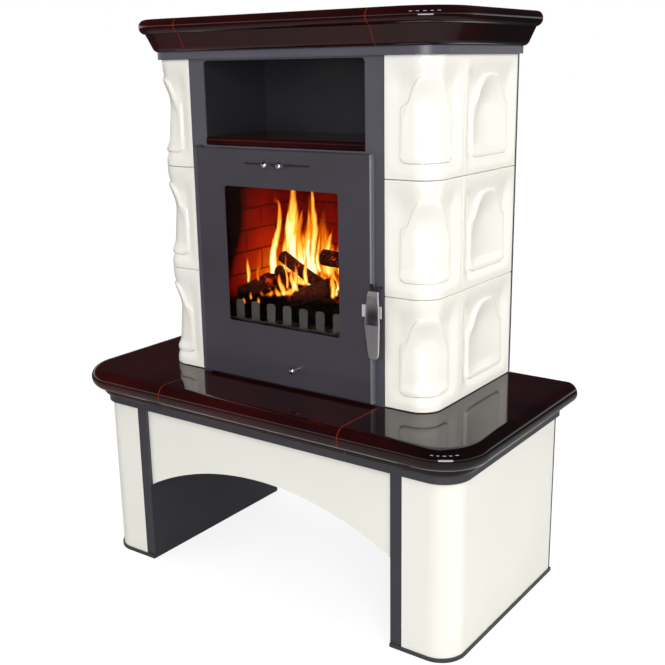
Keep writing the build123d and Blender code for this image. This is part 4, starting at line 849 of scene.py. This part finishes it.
# %% Flame finish
flame, tree, shader = finish("flame", Base_Color=(0, 0, 0, 1), Roughness=1.0, Specular_IOR_Level=0.0,
                             Emission_Strength=1.5)
licks = add(tree, "Mapping", {"Vector": place_on_stove(tree), "Scale": (150.0, 30.0, 26.0)}).outputs[0]
streak = noise(tree, licks, 1.0, 4.0, Distortion=0.6)
warmth = add(tree, "Attribute", attribute_name="warmth").outputs["Fac"]
ragged = maths(tree, "MULTIPLY", maths(tree, "SUBTRACT", streak, 0.5), 0.55)
torn = maths(tree, "MULTIPLY", ragged, maths(tree, "MULTIPLY", warmth, 2.0, clamp=True))
hot = maths(tree, "ADD", warmth, torn, clamp=True)
fill(tree, shader, {
    "Emission Color": ramp(
        tree, hot, (0.0, (0.20, 0.006, 0.0)), (0.22, (0.55, 0.070, 0.0)), (0.45, (0.95, 0.27, 0.008)),
        (0.72, (1.0, 0.58, 0.09)), (1.0, (1.0, 0.90, 0.48))),
    "Alpha": rescale(tree, hot, 0.04, 0.62, 0.0, 0.96, soft=True),
})
print("made the flame finish")

# %% Heat of one tongue
def rough_waves(x, z, seed, long_x, long_z):
    """Smooth disorder: a mean of eight sine waves with seeded directions and phases."""
    draw = np.random.default_rng(seed)
    total = np.zeros_like(x)
    for turn, phase, bend in draw.uniform(0, 2 * np.pi, (8, 3)):
        total += np.sin(x / long_x * np.cos(turn) * 4 + z / long_z * (1.5 + np.sin(turn)) + phase
                        + 0.8 * np.sin(x / long_x * 3 + bend))
    return total / 8


def tongue_heat(x, z, low_x, low_z, top_x, top_z, half, power, sway):
    """Heat of one tongue: across it one minus the square of the way to its edge; its half width
    goes as v^0.35 · (1 − v)^0.75 with v the way up, and its middle line swings in an S."""
    v = np.clip((z - low_z) / (top_z - low_z), 0, 1)
    middle = low_x + (top_x - low_x) * v ** 1.2 + sway * np.sin(2 * np.pi * v)
    wide = half * 1.75 * v ** 0.35 * (1 - v) ** 0.75 + 0.01
    core = np.clip(1 - ((x - middle) / wide) ** 2, 0, 1)
    return power * core ** 0.8 * (1 - 0.72 * v) * soft_step(z, low_z, low_z + 10) * (z < top_z)


print("flames are sums of tongue_heat")

# %% Shape of one sheet
fire_left, fire_right, fire_low, fire_high = -176, 150, 604, 862
fire_columns, fire_rows, sheet_thick = 180, 88, 2
left_fade, right_fade, high_fade = 16, 18, 10
still_below, stirred_over = 620, 240


def sheet_heat(x, z, rise, bed, tongues, seed):
    """Heat on a sheet: the sum of its tongues on a stirred grid, plus a glowing bed that fades
    upwards as e to the minus height over depth, all fading out at the sheet's border."""
    stirred = x + (2 + 8 * rise) * rough_waves(x, z, seed, 34, 40)
    stirred = stirred + 3.0 * rough_waves(x, z, seed + 1, 9, 16)
    heat = sum(tongue_heat(stirred, z, *tongue) for tongue in tongues)
    low, deep, strength = bed
    lumps = 0.7 + 0.6 * rough_waves(x, z * 0.4, seed + 2, 12, 12)
    heat += strength * lumps * soft_step(z, low - 8, low + 2) * np.exp(-np.clip(z - low, 0, None) / deep)
    border = soft_step(x, fire_left, fire_left + left_fade)
    border = border * soft_step(-x, -fire_right, -fire_right + right_fade)
    border = border * soft_step(-z, -fire_high, -fire_high + high_fade)
    return heat * (border * (0.86 + 0.30 * rough_waves(x, z * 0.35, seed + 3, 5, 20)))


def fire_sheet(name, y, bed, tongues, seed):
    """A thin closed sheet: front and back grids on a waving plane, with heat at each point."""
    x, z = np.meshgrid(np.linspace(fire_left, fire_right, fire_columns),
                       np.linspace(fire_low, fire_high, fire_rows), indexing="ij")
    rise = np.clip((z - still_below) / stirred_over, 0, 1)
    heat = sheet_heat(x, z, rise, bed, tongues, seed)
    wave = y + 7 * np.sin(x / 38 + seed) * rise + 4 * np.sin(z / 30 + x / 60)
    front = np.stack([x, wave, z], axis=2)
    back = front + (0, sheet_thick, 0)
    columns, rows = x.shape
    quads = grid_quads(columns, rows)
    index = np.arange(columns * rows).reshape(columns, rows)
    rim = np.concatenate([index[:, 0], index[-1, 1:], index[-2::-1, -1], index[0, -2:0:-1]])
    after = np.roll(rim, -1)
    walls = np.stack([rim, rim + index.size, after + index.size, after], axis=1)
    faces = quads.tolist() + (quads[:, ::-1] + index.size).tolist() + walls.tolist()
    points = np.concatenate([front.reshape(-1, 3), back.reshape(-1, 3)])
    return make_piece(name, points, faces, flame, "stove", 80, {"warmth": np.tile(heat.ravel(), 2)})


print("sheets run from x", fire_left, "to", fire_right, "and z", fire_low, "to", fire_high)

# %% Tongues of the three sheets
front_tongues = [  # foot x and z, tip x and z, half width, power, sway
    (-131, 646, -129, 713, 6, 1.2, 2), (-102, 652, -103, 706, 7, 0.6, -3),
    (-27, 644, -24, 724, 4, 1.0, 1), (1, 642, -2, 710, 6, 1.2, -2), (-12, 640, -8, 694, 8, 1.3, 3),
    (30, 660, 24, 736, 7, 1.2, -3), (-123, 610, -126, 636, 3, 1.0, 1), (-141, 597, -143, 618, 3, 1.0, 0),
    (-99, 597, -108, 624, 4, 1.2, -2), (-92, 621, -96, 636, 9, 0.7, 2), (-74, 622, -70, 641, 13, 0.8, -3),
    (-52, 625, -55, 651, 9, 1.0, 2), (-40, 628, -46, 680, 8, 1.2, 3), (-24, 630, -20, 652, 16, 1.1, -3),
    (96, 640, 100, 706, 9, 1.1, 2),
]
middle_tongues = [
    (-127, 640, -118, 822, 13, 1.5, -12), (-122, 806, -120, 842, 3, 0.4, 1),
    (-82, 670, -71, 960, 17, 1.15, 2), (-99, 660, -88, 795, 13, 1.1, -4), (-54, 660, -54, 806, 14, 1.1, 4),
    (-33, 655, -33, 812, 10, 1.2, -3), (-19, 645, -21, 960, 9, 1.2, 3), (-24, 650, -28, 742, 16, 1.4, 2),
    (-3, 668, -4, 764, 6, 1.3, -2), (10, 690, 36, 768, 8, 1.2, 2), (21, 688, 25, 742, 7, 0.9, -2),
    (36, 618, 38, 700, 9, 1.2, 2), (-70, 650, -66, 752, 20, 1.2, 4),
]
back_tongues = [
    (-130, 640, -124, 748, 18, 0.45, 6), (-96, 650, -100, 800, 26, 0.55, 6),
    (-60, 650, -70, 826, 28, 0.6, -6), (-20, 650, -24, 800, 28, 0.55, 6),
    (24, 650, 20, 764, 24, 0.5, -6), (60, 650, 64, 730, 22, 0.5, 6),
]
print("tongues:", len(front_tongues), len(middle_tongues), len(back_tongues))

# %% Build the sheets
fire_plan = [  # name, y, bed (low z, depth, strength), tongues, seed
    ("flames_back", 56, (640, 56, 0.75), back_tongues, 11),
    ("flames_middle", 4, (640, 16, 1.3), middle_tongues, 4),
    ("flames_front", -86, (600, 1, 0.0), front_tongues, 27),
]
for plan in fire_plan:
    sheet = fire_sheet(*plan)
print("flame sheets:", len(fire_plan))

# %% [markdown]
# ## Floor and background
# The floor is a plain pale sheet and the world is a soft even white, as in a studio. More light
# would make them white too, but it would fall on the stove as well. So what the camera and the
# glass see as white is set with the Light Path node. Polished faces see a dark room above a bright
# horizon, because the glaze in the photograph mirrors the dark upper part of a room.

# %% Floor
floor_half = 30
floor_mesh = bpy.data.meshes.new("floor")
floor_corners = [(-floor_half, -floor_half, 0), (floor_half, -floor_half, 0),
                 (floor_half, floor_half, 0), (-floor_half, floor_half, 0)]
floor_mesh.from_pydata(floor_corners, [], [(0, 1, 2, 3)])
floor = put_in_scene("floor", floor_mesh)


def seen_mask(tree):
    """1 for what the camera sees directly or through glass."""
    path = add(tree, "LightPath").outputs
    return maths(tree, "MAXIMUM", path["Is Camera Ray"], path["Is Transmission Ray"])


def mirror_mask(tree):
    """1 for what a polished face mirrors."""
    return add(tree, "LightPath").outputs["Is Glossy Ray"]


pale, tree, shader = finish("pale_floor", Roughness=0.9, Specular_IOR_Level=0.0, Emission_Strength=1.0)
reach = add(tree, "VectorMath", {0: place_on_stove(tree)}, operation="LENGTH").outputs["Value"]
far = rescale(tree, reach, 0.8, 3.2, soft=True)
paleness = maths(tree, "ADD", 0.78, maths(tree, "MULTIPLY", far, 0.24))
shown = maths(tree, "MULTIPLY", seen_mask(tree), paleness)
mirrored = maths(tree, "MULTIPLY", mirror_mask(tree), 0.02)
fill(tree, shader, {
    "Base Color": ramp(tree, far, (0.0, (0.38, 0.38, 0.38)), (1.0, (0.02, 0.02, 0.02))),
    "Emission Color": maths(tree, "MAXIMUM", shown, mirrored),
})
floor_mesh.materials.append(pale)
print("made the floor,", 2 * floor_half, "m wide")

# %% Background
world = bpy.data.worlds.new("studio")
bpy.context.scene.world = world
world.use_nodes = True
tree = world.node_tree
tree.nodes.clear()
climb = coordinate(tree, add(tree, "TexCoord").outputs["Generated"], "Z")
room = ramp(tree, climb, (0.04, (1.0, 1.0, 1.0)), (0.17, (0.03, 0.03, 0.033)))
backdrop = blend_colours(tree, mirror_mask(tree), (1.0, 1.0, 1.0), room)
light_part = add(tree, "Background", {"Color": (1, 1, 1, 1), "Strength": 0.60}).outputs[0]
seen_part = add(tree, "Background", {"Color": backdrop, "Strength": 1.0}).outputs[0]
seen = maths(tree, "MAXIMUM", seen_mask(tree), mirror_mask(tree))
both = add(tree, "MixShader", {0: seen, 1: light_part, 2: seen_part}).outputs[0]
add(tree, "OutputWorld", {"Surface": both})
print("world:", world.name)

# %% [markdown]
# ## Lamps
# Three large soft lamps light the stove: one from the front right, a weaker one from the front left
# and one from the side. As mirror images they would lie on the glaze as big grey squares, so they
# are left out of reflections. Small lamps that shine only in the polished faces put back the short
# highlights that the glaze has in the photograph, and a red point stands for the fire's own light.

# %% Large soft lamps
def lamp(name, place, target, size, power, colour=(1, 1, 1)):
    """A square soft lamp aimed at a point; its power is in watts."""
    data = bpy.data.lights.new(name, "AREA")
    data.shape, data.size = "SQUARE", size
    data.energy, data.color = power, colour
    made = put_in_scene(name, data)
    made.location = place
    made.rotation_euler = (Vector(target) - Vector(place)).to_track_quat("-Z", "Y").to_euler()
    return made


lamp_plan = [  # name, place, size, power
    ("key", (2.3, -3.0, 1.6), 2.8, 91),
    ("fill", (-2.6, -3.0, 1.3), 2.4, 28),
    ("side", (3.7, 0.3, 1.9), 2.4, 58),
]
for name, place, size, power in lamp_plan:
    lamp(name, place, (0, 0, 0.7), size, power).visible_glossy = False
print("soft lamps:", len(lamp_plan))

# %% Lamps for the highlights
spot_count, spot_away, spot_high = 5, 3, 3.3
first_angle, angle_step, spot_size, spot_power = 8, 15, 0.36, 6
for step in range(spot_count):
    angle = np.radians(first_angle + angle_step * step)
    spot_place = (spot_away * np.sin(angle), -spot_away * np.cos(angle), spot_high)
    spot = lamp(f"ceiling_spot_{step + 1}", spot_place, (0.2, -0.1, 0.8), spot_size, spot_power,
                (0.92, 0.86, 1.0))
    spot.visible_diffuse = False
gleam = lamp("gleam", (2.0, -2.5, 0.7), (0.2, -0.1, 0.7), 1.6, 48, (0.95, 0.93, 1.0))
gleam.data.shape, gleam.data.size_y = "RECTANGLE", 0.8
gleam.visible_diffuse = False
print("highlight lamps:", spot_count + 1)

# %% Light of the fire
fire_power, fire_colour = 2.6, (1.0, 0.12, 0.01)
fire_data = bpy.data.lights.new("fire_light", "POINT")
fire_data.energy, fire_data.color, fire_data.shadow_soft_size = fire_power, fire_colour, 0.03
fire_light = put_in_scene("fire_light", fire_data)
fire_light.location = (-0.02, 0.02, 0.74)
fire_light.visible_transmission = fire_light.visible_glossy = False
bpy.context.scene.view_settings.view_transform = "Standard"
print("fire light:", fire_power, "W")
